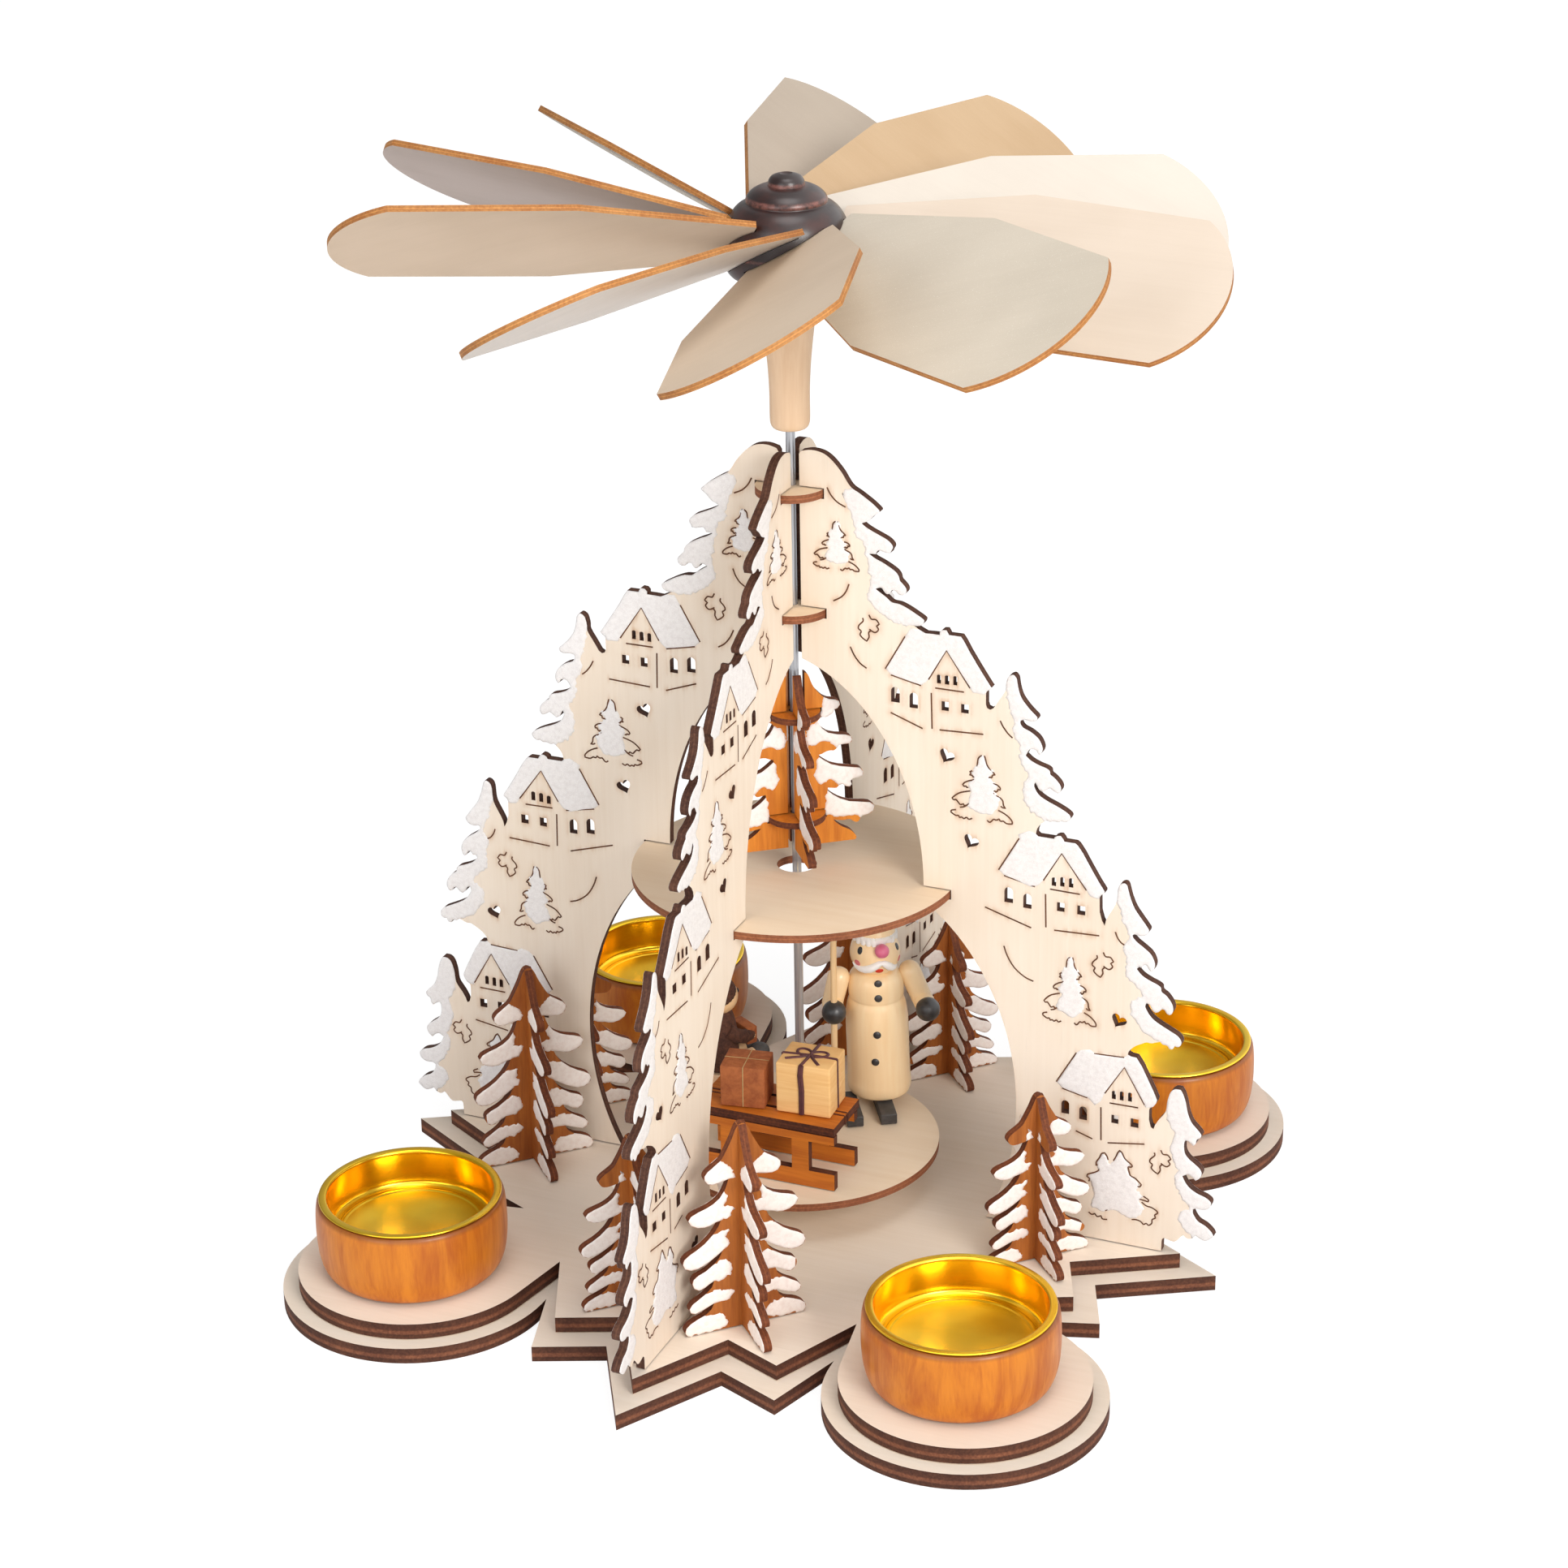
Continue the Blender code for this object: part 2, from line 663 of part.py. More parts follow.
def make_firs():
    tall = crossed_fir("fir_1", tall_fir_reach, tall_fir_rise)
    short = crossed_fir("fir_2", short_fir_reach, short_fir_rise)
    # A panel's outer corner is the nearest the firs come to the wing.
    corner = Matrix.Rotation(math.radians(fir_turn), 2) @ Vector((tall_fir_reach, fir_thickness / 2))
    side_distance = corner.y + wing_thickness / 2 + fir_clearance
    for number in range(1, 9):
        is_tall = number % 2 == 1
        source = tall if is_tall else short
        fir = source if number <= 2 else place_mesh(f"fir_{number}", source.data)
        side = side_distance if is_tall else -side_distance
        wing_turn = math.radians(90.0 * ((number - 1) // 2))
        fir.location.xy = Matrix.Rotation(wing_turn, 2) @ Vector((fir_distance, side))
        fir.rotation_euler.z = wing_turn + math.radians(fir_turn)


def make_bearing():
    top = base_seat + bearing_height
    place("pivot_bearing", turned([(0.0, base_seat), (bearing_radius, base_seat), (bearing_radius, top),
                                   (bearing_dimple_radius, top), (0.0, top - bearing_dimple_depth)],
                                  small_sides), brass)


def make_shaft(axis):
    point = base_seat + bearing_height - bearing_dimple_depth + seat_gap
    place("shaft", turned([(0.0, point), (shaft_radius, point + shaft_point_length),
                           (shaft_radius, shaft_top), (0.0, shaft_top)], rod_sides), steel, axis, 40.0)


def make_turntable(axis):
    bm = disc_with_hole(turntable_radius, shaft_radius + shaft_clearance, turntable_thickness,
                        turntable_top, plate_sides)
    place("turntable", bm, base_birch, axis)


def blade_outline():
    upper = [(blade_root_reach, blade_root_half_width), (blade_kink_reach, blade_kink_half_width),
             (blade_corner_reach, blade_corner_half_width)]
    sagitta = blade_tip_reach - blade_corner_reach
    tip_radius = (blade_corner_half_width ** 2 + sagitta ** 2) / (2.0 * sagitta)
    tip_centre = blade_tip_reach - tip_radius
    spread = math.asin(blade_corner_half_width / tip_radius)
    tip = []
    for step in range(1, blade_tip_steps):
        turn = spread - 2.0 * spread * step / blade_tip_steps
        tip.append((tip_centre + tip_radius * math.cos(turn), tip_radius * math.sin(turn)))
    lower = [(x, -y) for x, y in reversed(upper)]
    return [(x, y + blade_offset) for x, y in upper + tip + lower]


def blade_matrix(number):
    swing = first_blade_angle + 360.0 / blade_count * number + blade_swings[number]
    around = Matrix.Rotation(math.radians(swing), 4, "Z")
    droop = Matrix.Rotation(math.radians(-blade_cone - blade_droops[number]), 4, "Y")
    pitch = Matrix.Rotation(math.radians(blade_pitch + blade_twists[number]), 4, "X")
    return Matrix.Translation((0.0, 0.0, blade_centre_height)) @ around @ droop @ pitch


def make_fan(axis):
    blade_mesh = None
    for number in range(blade_count):
        name = f"blade_{number + 1}"
        if blade_mesh is None:
            blade = place(name, sheet(blade_outline(), [], blade_thickness), blade_birch, axis)
            blade_mesh = blade.data
        else:
            blade = place_mesh(name, blade_mesh, axis)
        blade.matrix_local = blade_matrix(number)


def slot_cutter(number):
    half_width = blade_root_half_width + cut_overrun
    inner = blade_root_reach - seat_gap
    outer = hub_disc_radius + cut_overrun
    corners = [(inner, blade_offset - half_width), (outer, blade_offset - half_width),
               (outer, blade_offset + half_width), (inner, blade_offset + half_width)]
    cutter = place(f"slot_{number}", sheet(corners, [], blade_thickness + slot_gap * 2), dark_stain)
    cutter.matrix_local = blade_matrix(number)
    cutter.hide_render = True
    cutter.display_type = "WIRE"
    return cutter


def make_hub(axis):
    radii = {"disc": hub_disc_radius, "dome": hub_dome_radius, "knob": hub_knob_radius}
    profile = [(radii[part] * share, hub_foot + hub_height * rise)
               for part, share, rise in hub_profile_shares]
    bore = shaft_radius + shaft_clearance
    bore_top = shaft_top + seat_gap
    hub = place("hub", turned([(0.0, bore_top), (bore, bore_top), (bore, hub_foot), *profile,
                               (0.0, hub_top)], cup_sides), dark_stain, axis, 30.0)
    for number in range(blade_count):
        joined(hub, slot_cutter(number), "DIFFERENCE")


def make_sleeve(axis):
    radii = {"foot": sleeve_foot_radius, "waist": sleeve_waist_radius}
    bore = shaft_radius + shaft_clearance
    outside = [(radii[part] * share, sleeve_foot + sleeve_height * height)
               for part, share, height in sleeve_profile_shares]
    place("sleeve", turned([(bore, sleeve_foot), *outside, (bore, sleeve_top)], small_sides, True),
          natural_wood, axis, 30.0)


def tree_height(share):
    rise = upper_arch_apex() - tree_top_clearance - tree_foot
    return tree_foot + rise * share


def tree_panel_outline():
    inner = []
    for radius, top in ((tree_lower_disc_radius, tree_height(tree_lower_disc_share)),
                        (tree_upper_disc_radius, tree_height(tree_upper_disc_share))):
        low = top - tree_disc_thickness - seat_gap
        high = top + seat_gap
        inner += [(tree_inner_reach, low), (radius + seat_gap, low),
                  (radius + seat_gap, high), (tree_inner_reach, high)]
    outer = [(tree_reach * x, tree_height(z)) for x, z in tree_profile_shares]
    inner += [(tree_inner_reach, tree_height(1.0))]
    return [*reversed(inner), (tree_inner_reach, tree_foot), *outer]


def make_centre_tree(axis):
    panel_mesh = None
    for number in range(4):
        name = f"tree_panel_{number + 1}"
        if panel_mesh is None:
            panel = place(name, upright(sheet(tree_panel_outline(), [], tree_panel_thickness)),
                          tree_stain, axis)
            panel_mesh = panel.data
        else:
            panel = place_mesh(name, panel_mesh, axis)
        panel.rotation_euler.z = math.radians(tree_turn + 90.0 * number)
    hole = shaft_radius + shaft_clearance
    for name, radius, share in (("tree_disc_lower", tree_lower_disc_radius, tree_lower_disc_share),
                                ("tree_disc_upper", tree_upper_disc_radius, tree_upper_disc_share)):
        place(name, disc_with_hole(radius, hole, tree_disc_thickness, tree_height(share), small_sides),
              tree_stain, axis)


def box(size):
    bm = bmesh.new()
    bmesh.ops.create_cube(bm, size=1.0)
    bmesh.ops.scale(bm, vec=size, verts=bm.verts)
    return bm


def ball(radius, sides):
    bm = bmesh.new()
    bmesh.ops.create_uvsphere(bm, u_segments=sides, v_segments=sides // 2, radius=radius)
    return bm


def limb(start, end, start_radius, end_radius, sides):
    bm = bmesh.new()
    reach = Vector(end) - Vector(start)
    bmesh.ops.create_cone(bm, cap_ends=True, segments=sides, radius1=start_radius,
                          radius2=end_radius, depth=reach.length)
    turn = reach.to_track_quat("Z", "Y").to_matrix().to_4x4()
    bm.transform(Matrix.Translation((Vector(start) + Vector(end)) / 2) @ turn)
    return bm


def make_man(axis):
    # Built facing +X about its own axis, then stood on the turntable.
    stand = empty("man_stand")
    stand.parent = axis
    stand.location = (man_x, man_y, turntable_top + seat_gap)
    stand.rotation_euler.z = math.radians(man_turn)
    radii = {"hem": man_hem_radius, "waist": man_waist_radius}
    hem = boot_height + seat_gap
    profile = [(radii[part] * share, hem + man_rise * height)
               for part, share, height in man_profile_shares]
    shoulder = hem + man_rise
    place("man_body", turned([(0.0, hem), *profile, (0.0, shoulder)], small_sides),
          natural_wood, stand, 40.0)
    head = turned(head_profile(shoulder + seat_gap), small_sides)
    place("man_head", head, natural_wood, stand, 40.0)
    arms = {}
    for side, name in ((1.0, "left"), (-1.0, "right")):
        arms[name] = make_arm(stand, side, name)
        boot = box((boot_front - boot_back, boot_width, boot_height))
        boot = place(f"man_boot_{name}", boot, black_paint, stand)
        boot.location = ((boot_front + boot_back) / 2, boot_shift + boot_side * side, boot_height / 2)
    make_staff("man_staff", staff_radius, stand)
    joined(arms["right"], make_staff("staff_bore", staff_radius + slot_gap, stand), "DIFFERENCE")


def make_staff(name, radius, stand):
    # The staff runs down through the right hand.
    rod = turned([(0.0, 0.0), (radius, 0.0), (radius, staff_rise), (0.0, staff_rise)], rod_sides)
    staff = place(name, rod, natural_wood, stand, 40.0)
    staff.location = (man_hand_forward, -man_hand_side, 0.0)
    return staff


def head_profile(foot):
    # A ball of a head under a soft round cap.
    points = [(0.0, foot)]
    centre = foot + man_head_radius
    for step in range(1, 5):
        turn = math.pi * step / 8.0
        points.append((man_head_radius * math.sin(turn), centre - man_head_radius * math.cos(turn)))
    points += [(man_head_radius * x, centre + man_hat_rise * z) for x, z in head_cap_shares]
    return [*points, (0.0, centre + man_hat_rise)]


def make_arm(stand, side, name):
    shoulder = (0.0, man_shoulder_side * side, man_shoulder_height)
    elbow = (0.0, man_elbow_side * side, man_hand_height)
    hand = (man_hand_forward, man_hand_side * side, man_hand_height)
    upper_arm = limb(shoulder, elbow, man_arm_radius, man_arm_radius, rod_sides)
    arm = place(f"man_arm_{name}", upper_arm, natural_wood, stand, 40.0)
    for piece, centre in (
            (limb(elbow, hand, man_arm_radius, man_arm_radius, rod_sides), (0.0, 0.0, 0.0)),
            (ball(man_arm_radius * elbow_share, small_sides), elbow),
            (ball(man_arm_radius * elbow_share, small_sides), shoulder),
            (ball(man_hand_radius, rod_sides), hand)):
        added = place("arm_piece", piece, natural_wood, stand)
        added.location = centre
        bpy.context.view_layer.update()
        joined(arm, added, "UNION")
    return arm


def sled_side_outline():
    half = sled_length / 2
    leg_tops = sled_height - sled_deck_thickness - seat_gap
    rail_low = leg_tops - sled_rail_height
    outline = [(-half, 0.0), (half, 0.0), (half, sled_runner_height)]
    right_leg = half - sled_leg_width * sled_leg_share
    outline += [(right_leg, sled_runner_height), (right_leg, rail_low), (half, rail_low), (half, leg_tops),
                (-half, leg_tops), (-half, rail_low), (-right_leg, rail_low),
                (-right_leg, sled_runner_height), (-half, sled_runner_height)]
    inner = right_leg - sled_leg_width
    window_loop = [(-inner, sled_runner_height), (inner, sled_runner_height), (inner, rail_low),
                   (-inner, rail_low)]
    return outline, window_loop


def make_sled(axis):
    stand = empty("sled_stand")
    stand.parent = axis
    stand.location = (sled_x, sled_y, turntable_top + seat_gap)
    stand.rotation_euler.z = math.radians(sled_turn)
    outline, window_loop = sled_side_outline()
    side_distance = sled_frame_spacing / 2
    front = place("sled_side_front", upright(sheet(outline, [window_loop], sled_frame_thickness)),
                  fir_stain, stand)
    front.location.y = -side_distance
    back = place_mesh("sled_side_back", front.data, stand)
    back.location.y = side_distance
    half = sled_length / 2
    depth = sled_width / 2
    deck_outline = [(-half, -depth), (half, -depth), (half, depth), (-half, depth)]
    slots = []
    for side in (-1.0, 1.0):
        centre = sled_width * sled_slot_share * side
        low, high = centre - sled_slot_width / 2, centre + sled_slot_width / 2
        end = half - sled_leg_width
        slots.append([(-end, low), (end, low), (end, high), (-end, high)])
    deck = place("sled_deck", sheet(deck_outline, slots, sled_deck_thickness), fir_stain, stand)
    deck.location = (0.0, sled_deck_shift, sled_height - sled_deck_thickness / 2)


def make_gifts(axis):
    deck_top = turntable_top + seat_gap + sled_height
    for name, size, centre, turn, colour in (
            ("gift_natural", natural_gift_size, natural_gift_place, natural_gift_turn, natural_wood),
            ("gift_brown", brown_gift_size, brown_gift_place, brown_gift_turn, gift_brown_stain)):
        gift = place(name, box(size), colour, axis)
        gift.location = (*centre, deck_top + seat_gap + size[2] / 2)
        gift.rotation_euler.z = math.radians(turn)


def make_child(axis):
    stand = empty("child_stand")
    stand.parent = axis
    stand.location = (child_x, child_y, turntable_top + seat_gap)
    stand.rotation_euler.z = math.radians(child_turn)
    place("child_seat", turned([(0.0, 0.0), (seat_radius, 0.0), (seat_radius, seat_height),
                                (0.0, seat_height)], rod_sides), natural_wood, stand, 40.0)
    low = seat_height + seat_gap
    profile = [(child_body_radius * x, low + child_body_rise * z) for x, z in child_body_shares]
    figure = place("child_figure", turned([(0.0, low), *profile, (0.0, low + child_body_rise)], rod_sides),
                   gift_brown_stain, stand, 40.0)
    head_height = low + child_body_rise + child_head_radius * child_neck_share
    parcel_height = low + child_body_rise * child_parcel_share
    pieces = [(ball(child_head_radius, rod_sides), (0.0, 0.0, head_height)),
              (box(child_parcel_size), (child_parcel_reach, 0.0, parcel_height))]
    for side in (-1.0, 1.0):
        hip = (0.0, child_leg_side * side, low + child_limb_radius)
        foot = (child_leg_reach, child_leg_side * side, low + child_limb_radius)
        shoulder = (0.0, child_body_radius * child_shoulder_share * side, parcel_height + child_limb_radius)
        hand = (child_parcel_reach, child_leg_side * side, parcel_height)
        pieces += [(limb(hip, foot, child_limb_radius, child_limb_radius, rod_sides), (0.0, 0.0, 0.0)),
                   (limb(shoulder, hand, child_limb_radius, child_limb_radius, rod_sides), (0.0, 0.0, 0.0)),
                   (ball(child_boot_radius, rod_sides), foot)]
    for piece, centre in pieces:
        added = place("child_piece", piece, gift_brown_stain, stand)
        added.location = centre
        bpy.context.view_layer.update()
        joined(figure, added, "UNION")


make_base()
make_wings()
make_fixed_discs()
make_cups()
make_firs()
make_bearing()
rotor_axis = empty("rotor_axis")
make_shaft(rotor_axis)
make_turntable(rotor_axis)
make_fan(rotor_axis)
make_hub(rotor_axis)
make_sleeve(rotor_axis)
make_centre_tree(rotor_axis)
make_man(rotor_axis)
make_sled(rotor_axis)
make_gifts(rotor_axis)
make_child(rotor_axis)
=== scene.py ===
import math
import random

import bmesh
import bpy
import numpy
from mathutils import Matrix, Vector, noise
from mathutils.geometry import delaunay_2d_cdt, intersect_line_line_2d


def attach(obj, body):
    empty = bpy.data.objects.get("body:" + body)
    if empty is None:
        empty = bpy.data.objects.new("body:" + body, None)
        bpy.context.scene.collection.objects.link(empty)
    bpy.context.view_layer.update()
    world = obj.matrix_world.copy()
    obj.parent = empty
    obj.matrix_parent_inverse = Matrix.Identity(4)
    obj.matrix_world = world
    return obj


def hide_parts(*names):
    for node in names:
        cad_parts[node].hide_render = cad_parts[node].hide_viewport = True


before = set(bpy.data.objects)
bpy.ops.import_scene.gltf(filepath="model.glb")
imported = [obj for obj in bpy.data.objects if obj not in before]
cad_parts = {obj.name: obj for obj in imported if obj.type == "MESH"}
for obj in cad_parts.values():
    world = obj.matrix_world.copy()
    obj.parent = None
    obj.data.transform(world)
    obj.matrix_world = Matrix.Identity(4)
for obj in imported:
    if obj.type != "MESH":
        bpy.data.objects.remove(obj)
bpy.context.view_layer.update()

mm = 0.001
baseSeat = 8.6  # height of the upper base plate's top, all drawings are in millimetres
pureWhite = (1.0, 1.0, 1.0, 1.0)
print("frame loaded,", len(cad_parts), "nodes")


# ---- camera, lamps and floor

view = {
    "place": (0.329133, -0.759683, 0.476497),
    "right": (0.92459752, 0.38083421, -0.00920481),
    "up": (-0.14376293, 0.37120335, 0.91735505),
    "back": (0.35277704, -0.84686089, 0.39796355),
    "lens": 85.61, "sensor": 36.0,
    "shiftX": -0.0383,
}
lamps = {  # place, size, power, colour
    "keyLamp": ((1.45, -1.10, 1.00), 0.9, 24.0, (1.0, 0.975, 0.94)),
    "fillLamp": ((-0.35, -1.90, 0.75), 1.3, 8.0, (0.97, 0.98, 1.0)),
    "topLamp": ((0.25, -0.35, 2.00), 1.2, 10.5, (1.0, 1.0, 1.0)),
}
lampAim = (0.0, 0.0, 0.11)  # a little below the middle of the object
skyLight = 0.50


def linked(name, data):
    made = bpy.data.objects.new(name, data)
    bpy.context.scene.collection.objects.link(made)
    return made


def makeCamera():
    camera = linked("photoCamera", bpy.data.cameras.new("photoCamera"))
    axes = Matrix((view["right"], view["up"], view["back"])).transposed()
    camera.matrix_world = Matrix.Translation(view["place"]) @ axes.to_4x4()
    camera.data.sensor_width = view["sensor"]
    camera.data.lens = view["lens"]
    camera.data.shift_x = view["shiftX"]
    camera.data.clip_start = 0.05
    camera.data.clip_end = 20.0
    bpy.context.scene.camera = camera
    bpy.context.scene.view_settings.view_transform = "Standard"


def makeLamps():
    for name, (place, size, power, colour) in lamps.items():
        lamp = linked(name, bpy.data.lights.new(name, "AREA"))
        lamp.data.shape = "DISK"
        lamp.data.size = size
        lamp.data.energy = power
        lamp.data.color = colour
        lamp.location = place
        aim = Vector(lampAim) - Vector(place)
        lamp.rotation_euler = aim.to_track_quat("-Z", "Y").to_euler()


# ---- shader wiring

class Wire:
    # one socket of a shader, so that Python sums on it add their Math nodes
    def __init__(self, finish, socket):
        self.finish = finish
        self.socket = socket

    def maths(self, operation, first, second):
        return self.finish.node("ShaderNodeMath", {"operation": operation}, [first, second])

    def __add__(self, other):
        return self.maths("ADD", self, other)

    def __sub__(self, other):
        return self.maths("SUBTRACT", self, other)

    def __rsub__(self, other):
        return self.maths("SUBTRACT", other, self)

    def __mul__(self, other):
        return self.maths("MULTIPLY", self, other)

    __radd__ = __add__
    __rmul__ = __mul__


class Finish:
    # a node tree and the ways to add nodes to it
    def __init__(self, name, constants=None, world=None):
        self.owner = world or bpy.data.materials.new(name)
        self.owner.use_nodes = True
        self.tree = self.owner.node_tree
        if world is None:
            self.shader = self.tree.nodes["Principled BSDF"]
            for socket, value in (constants or {}).items():
                self.shader.inputs[socket].default_value = value

    def feed(self, socket, value):
        if isinstance(value, Wire):
            self.tree.links.new(value.socket, socket)
        else:
            socket.default_value = value

    def node(self, kind, settings, values, output=0):
        made = self.tree.nodes.new(kind)
        for key, value in settings.items():
            if key == "stops":
                ramp = made.color_ramp
                while len(ramp.elements) < len(value):
                    ramp.elements.new(1.0)
                for element, (place, colour) in zip(ramp.elements, value):
                    element.position = place
                    element.color = colour
            else:
                setattr(made, key, value)
        for key, value in (values.items() if isinstance(values, dict) else enumerate(values)):
            self.feed(made.inputs[key], value)
        return Wire(self, made.outputs[output])

    def place(self, scale, turn=(0.0, 0.0, 0.0)):
        # one number scales all three axes alike
        where = self.node("ShaderNodeTexCoord", {}, {}, "Object")
        scale = scale if isinstance(scale, tuple) else (scale,) * 3
        return self.node("ShaderNodeMapping", {}, {"Vector": where, "Scale": scale, "Rotation": turn})

    def grain(self, scale, detail=3.0, rough=0.55, twist=0.0, turn=(0.0, 0.0, 0.0)):
        return self.node("ShaderNodeTexNoise", {}, {
            "Vector": self.place(scale, turn), "Scale": 1.0, "Detail": detail, "Roughness": rough,
            "Distortion": twist})

    def between(self, value, low, high):
        # 0 below low, 1 above high, smooth between them
        return self.node("ShaderNodeMapRange", {"interpolation_type": "SMOOTHSTEP"},
                         {"Value": value, "From Min": low, "From Max": high})

    def mixed(self, share, first, second):
        return self.node("ShaderNodeMix", {"data_type": "RGBA"}, {0: share, 6: first, 7: second}, 2)

    def field(self, name):
        return self.node("ShaderNodeAttribute", {"attribute_name": name}, {}, "Fac")

    def height(self):
        where = self.node("ShaderNodeTexCoord", {}, {}, "Object")
        return self.node("ShaderNodeSeparateXYZ", {}, {"Vector": where}, "Z")

    def surface(self, colour, rough, relief=None, depth=0.0001, strength=0.5):
        self.feed(self.shader.inputs["Base Color"], colour)
        self.feed(self.shader.inputs["Roughness"], rough)
        if relief is not None:
            bump = self.node("ShaderNodeBump", {}, {"Height": relief, "Distance": depth, "Strength": strength})
            self.feed(self.shader.inputs["Normal"], bump)
        return self.owner


def tone(red, green, blue):
    # a screen colour from 0 to 255 as the shader's own linear colour
    linear = [(c / 255.0 / 12.92) if c <= 10.3 else ((c / 255.0 + 0.055) / 1.055) ** 2.4
              for c in (red, green, blue)]
    return (*linear, 1.0)


def scaled(values, times):
    return tuple(value * times for value in values)


def makeSky():
    world = bpy.data.worlds.new("whiteStudio")
    bpy.context.scene.world = world
    sky = Finish("whiteStudio", world=world)
    camera = sky.node("ShaderNodeLightPath", {}, {}, "Is Camera Ray")
    glossy = sky.node("ShaderNodeLightPath", {}, {}, "Is Glossy Ray")
    way = sky.node("ShaderNodeTexCoord", {}, {}, "Generated")
    right, back = (sky.node("ShaderNodeSeparateXYZ", {}, {0: way}, axis) for axis in ("X", "Y"))
    soft = sky.between(back, 0.9, -0.9) * 0.75 + 0.5       # brighter from the front
    mirror = sky.between(right, -0.7, 0.6) * 1.3 + 0.35    # what the brass and steel see
    lit = (1.0 - glossy) * soft * skyLight + glossy * mirror
    backdrop = sky.tree.nodes["Background"]
    backdrop.inputs["Color"].default_value = pureWhite
    sky.feed(backdrop.inputs["Strength"], camera + (1.0 - camera) * lit)


def makeFloor():
    mesh = bpy.data.meshes.new("studioFloor")
    reach, level = 6.0, -0.0002
    mesh.from_pydata([(-reach, -reach, level), (reach, -reach, level), (reach, reach, level),
                      (-reach, reach, level)], [], [(0, 1, 2, 3)])
    floor = linked("studioFloor", mesh)
    paper = Finish("studioPaper", {"Base Color": (0.9, 0.9, 0.9, 1.0), "Roughness": 0.9,
                                   "Specular IOR Level": 0.1})
    camera = paper.node("ShaderNodeLightPath", {}, {}, "Is Camera Ray")
    glow = paper.node("ShaderNodeEmission", {}, {"Color": pureWhite, "Strength": 1.27})
    plain = Wire(paper, paper.shader.outputs[0])
    seen = paper.node("ShaderNodeMixShader", {}, [camera * 0.66, plain, glow])
    paper.feed(paper.tree.nodes["Material Output"].inputs["Surface"], seen)
    mesh.materials.append(paper.owner)


makeCamera()
makeLamps()
makeSky()
makeFloor()
print("camera, lamps and floor")


# ---- finishes

def birchFace(name, light, dark, along, rough=0.62):
    # pale veneer: along gives how many times finer the grain is across each axis
    wood = Finish(name, {"Specular IOR Level": 0.35})
    streak = wood.grain(along, 4.0, 0.62, 0.25)
    pore = wood.grain(scaled(along, 3.2), 2.0, 0.5)
    cloud = wood.grain(28.0, 2.0)
    share = wood.between(streak * 0.35 + cloud * 0.65, 0.32, 0.72)
    colour = wood.mixed(share, tone(*light), tone(*dark))
    pores = wood.between(pore, 0.63, 0.80) * 0.08
    colour = wood.mixed(pores, colour, tone(*scaled(dark, 0.72)))
    smudge = wood.grain(scaled(along, 0.9), 3.0, 0.6)
    burn = wood.field("burn") * wood.between(smudge, 0.30, 0.68)
    colour = wood.mixed(wood.between(burn, 0.05, 1.15) * 0.6, colour, tone(186, 132, 76))
    return wood.surface(colour, share * 0.10 + rough, streak, 0.00006, 0.35)


def plyEdge(name, dark, light, seams, rough=0.72):
    # a laser-cut edge: burnt plies, fine scorch lines straight through the sheet
    wood = Finish(name, {"Specular IOR Level": 0.3})
    across = wood.field("ply")
    band = wood.node("ShaderNodeValToRGB", {"stops": seams}, [across])
    kerf = wood.grain(1500.0, 2.0, 0.6)
    patch = wood.grain(90.0, 2.0)
    share = wood.between(kerf * 0.55 + patch * 0.45, 0.30, 0.72)
    char = wood.mixed(share, tone(*dark), tone(*light))
    colour = wood.node("ShaderNodeMix", {"data_type": "RGBA", "blend_type": "MULTIPLY"},
                       {0: 1.0, 6: char, 7: band}, 2)
    return wood.surface(colour, rough, kerf, 0.00012, 0.6)


def snowFinish(name, white, shade, sparkle=True):
    # thick brushed paint with a little glitter in it; the glitter flecks are smoother and are also painted white as
    # glints
    paint = Finish(name, {"Specular IOR Level": 0.45})
    lump = paint.grain(900.0, 3.0, 0.6)
    fine = paint.grain(4200.0, 2.0, 0.6)
    colour = paint.mixed(paint.between(lump, 0.35, 0.75), tone(*white), tone(*shade))
    glint = paint.node("ShaderNodeTexVoronoi", {}, {"Vector": paint.place(1.0), "Scale": 2600.0})
    glitterAndGlint = paint.between(glint, 0.30, 0.16)
    rough = 0.78 - glitterAndGlint * 0.5 if sparkle else paint.between(lump, 0.2, 0.9) * 0.2 + 0.5
    # painted glints: pure white mixed into the colour at the glitter flecks
    if sparkle:
        colour = paint.mixed(glitterAndGlint * 0.55, colour, pureWhite)
    return paint.surface(colour, rough, lump * 0.6 + fine * 0.4, 0.00022, 0.55)


def stainedFace(name, light, dark, along, rough=0.55, coat=0.0):
    wood = Finish(name, {"Specular IOR Level": 0.4, "Coat Weight": coat, "Coat Roughness": 0.18})
    streak = wood.grain(along, 4.0, 0.6, 0.6)
    fibre = wood.grain(scaled(along, 4.0), 2.0, 0.6)
    cloud = wood.grain(60.0, 2.0)
    share = wood.between(streak * 0.5 + fibre * 0.25 + cloud * 0.25, 0.34, 0.68)
    colour = wood.mixed(share, tone(*light), tone(*dark))
    return wood.surface(colour, share * 0.12 + rough, fibre, 0.00008, 0.35)


def plainPaint(name, colour, worn, rough, coat=0.0):
    # brushed paint over wood, a little uneven
    paint = Finish(name, {"Specular IOR Level": 0.45, "Coat Weight": coat, "Coat Roughness": 0.25})
    brush = paint.grain((500.0, 500.0, 900.0), 3.0, 0.6)
    cloud = paint.grain(120.0, 2.0)
    share = paint.between(brush * 0.5 + cloud * 0.5, 0.38, 0.72)
    colour = paint.mixed(share, tone(*colour), tone(*worn))
    return paint.surface(colour, share * 0.15 + rough, brush, 0.00005, 0.4)


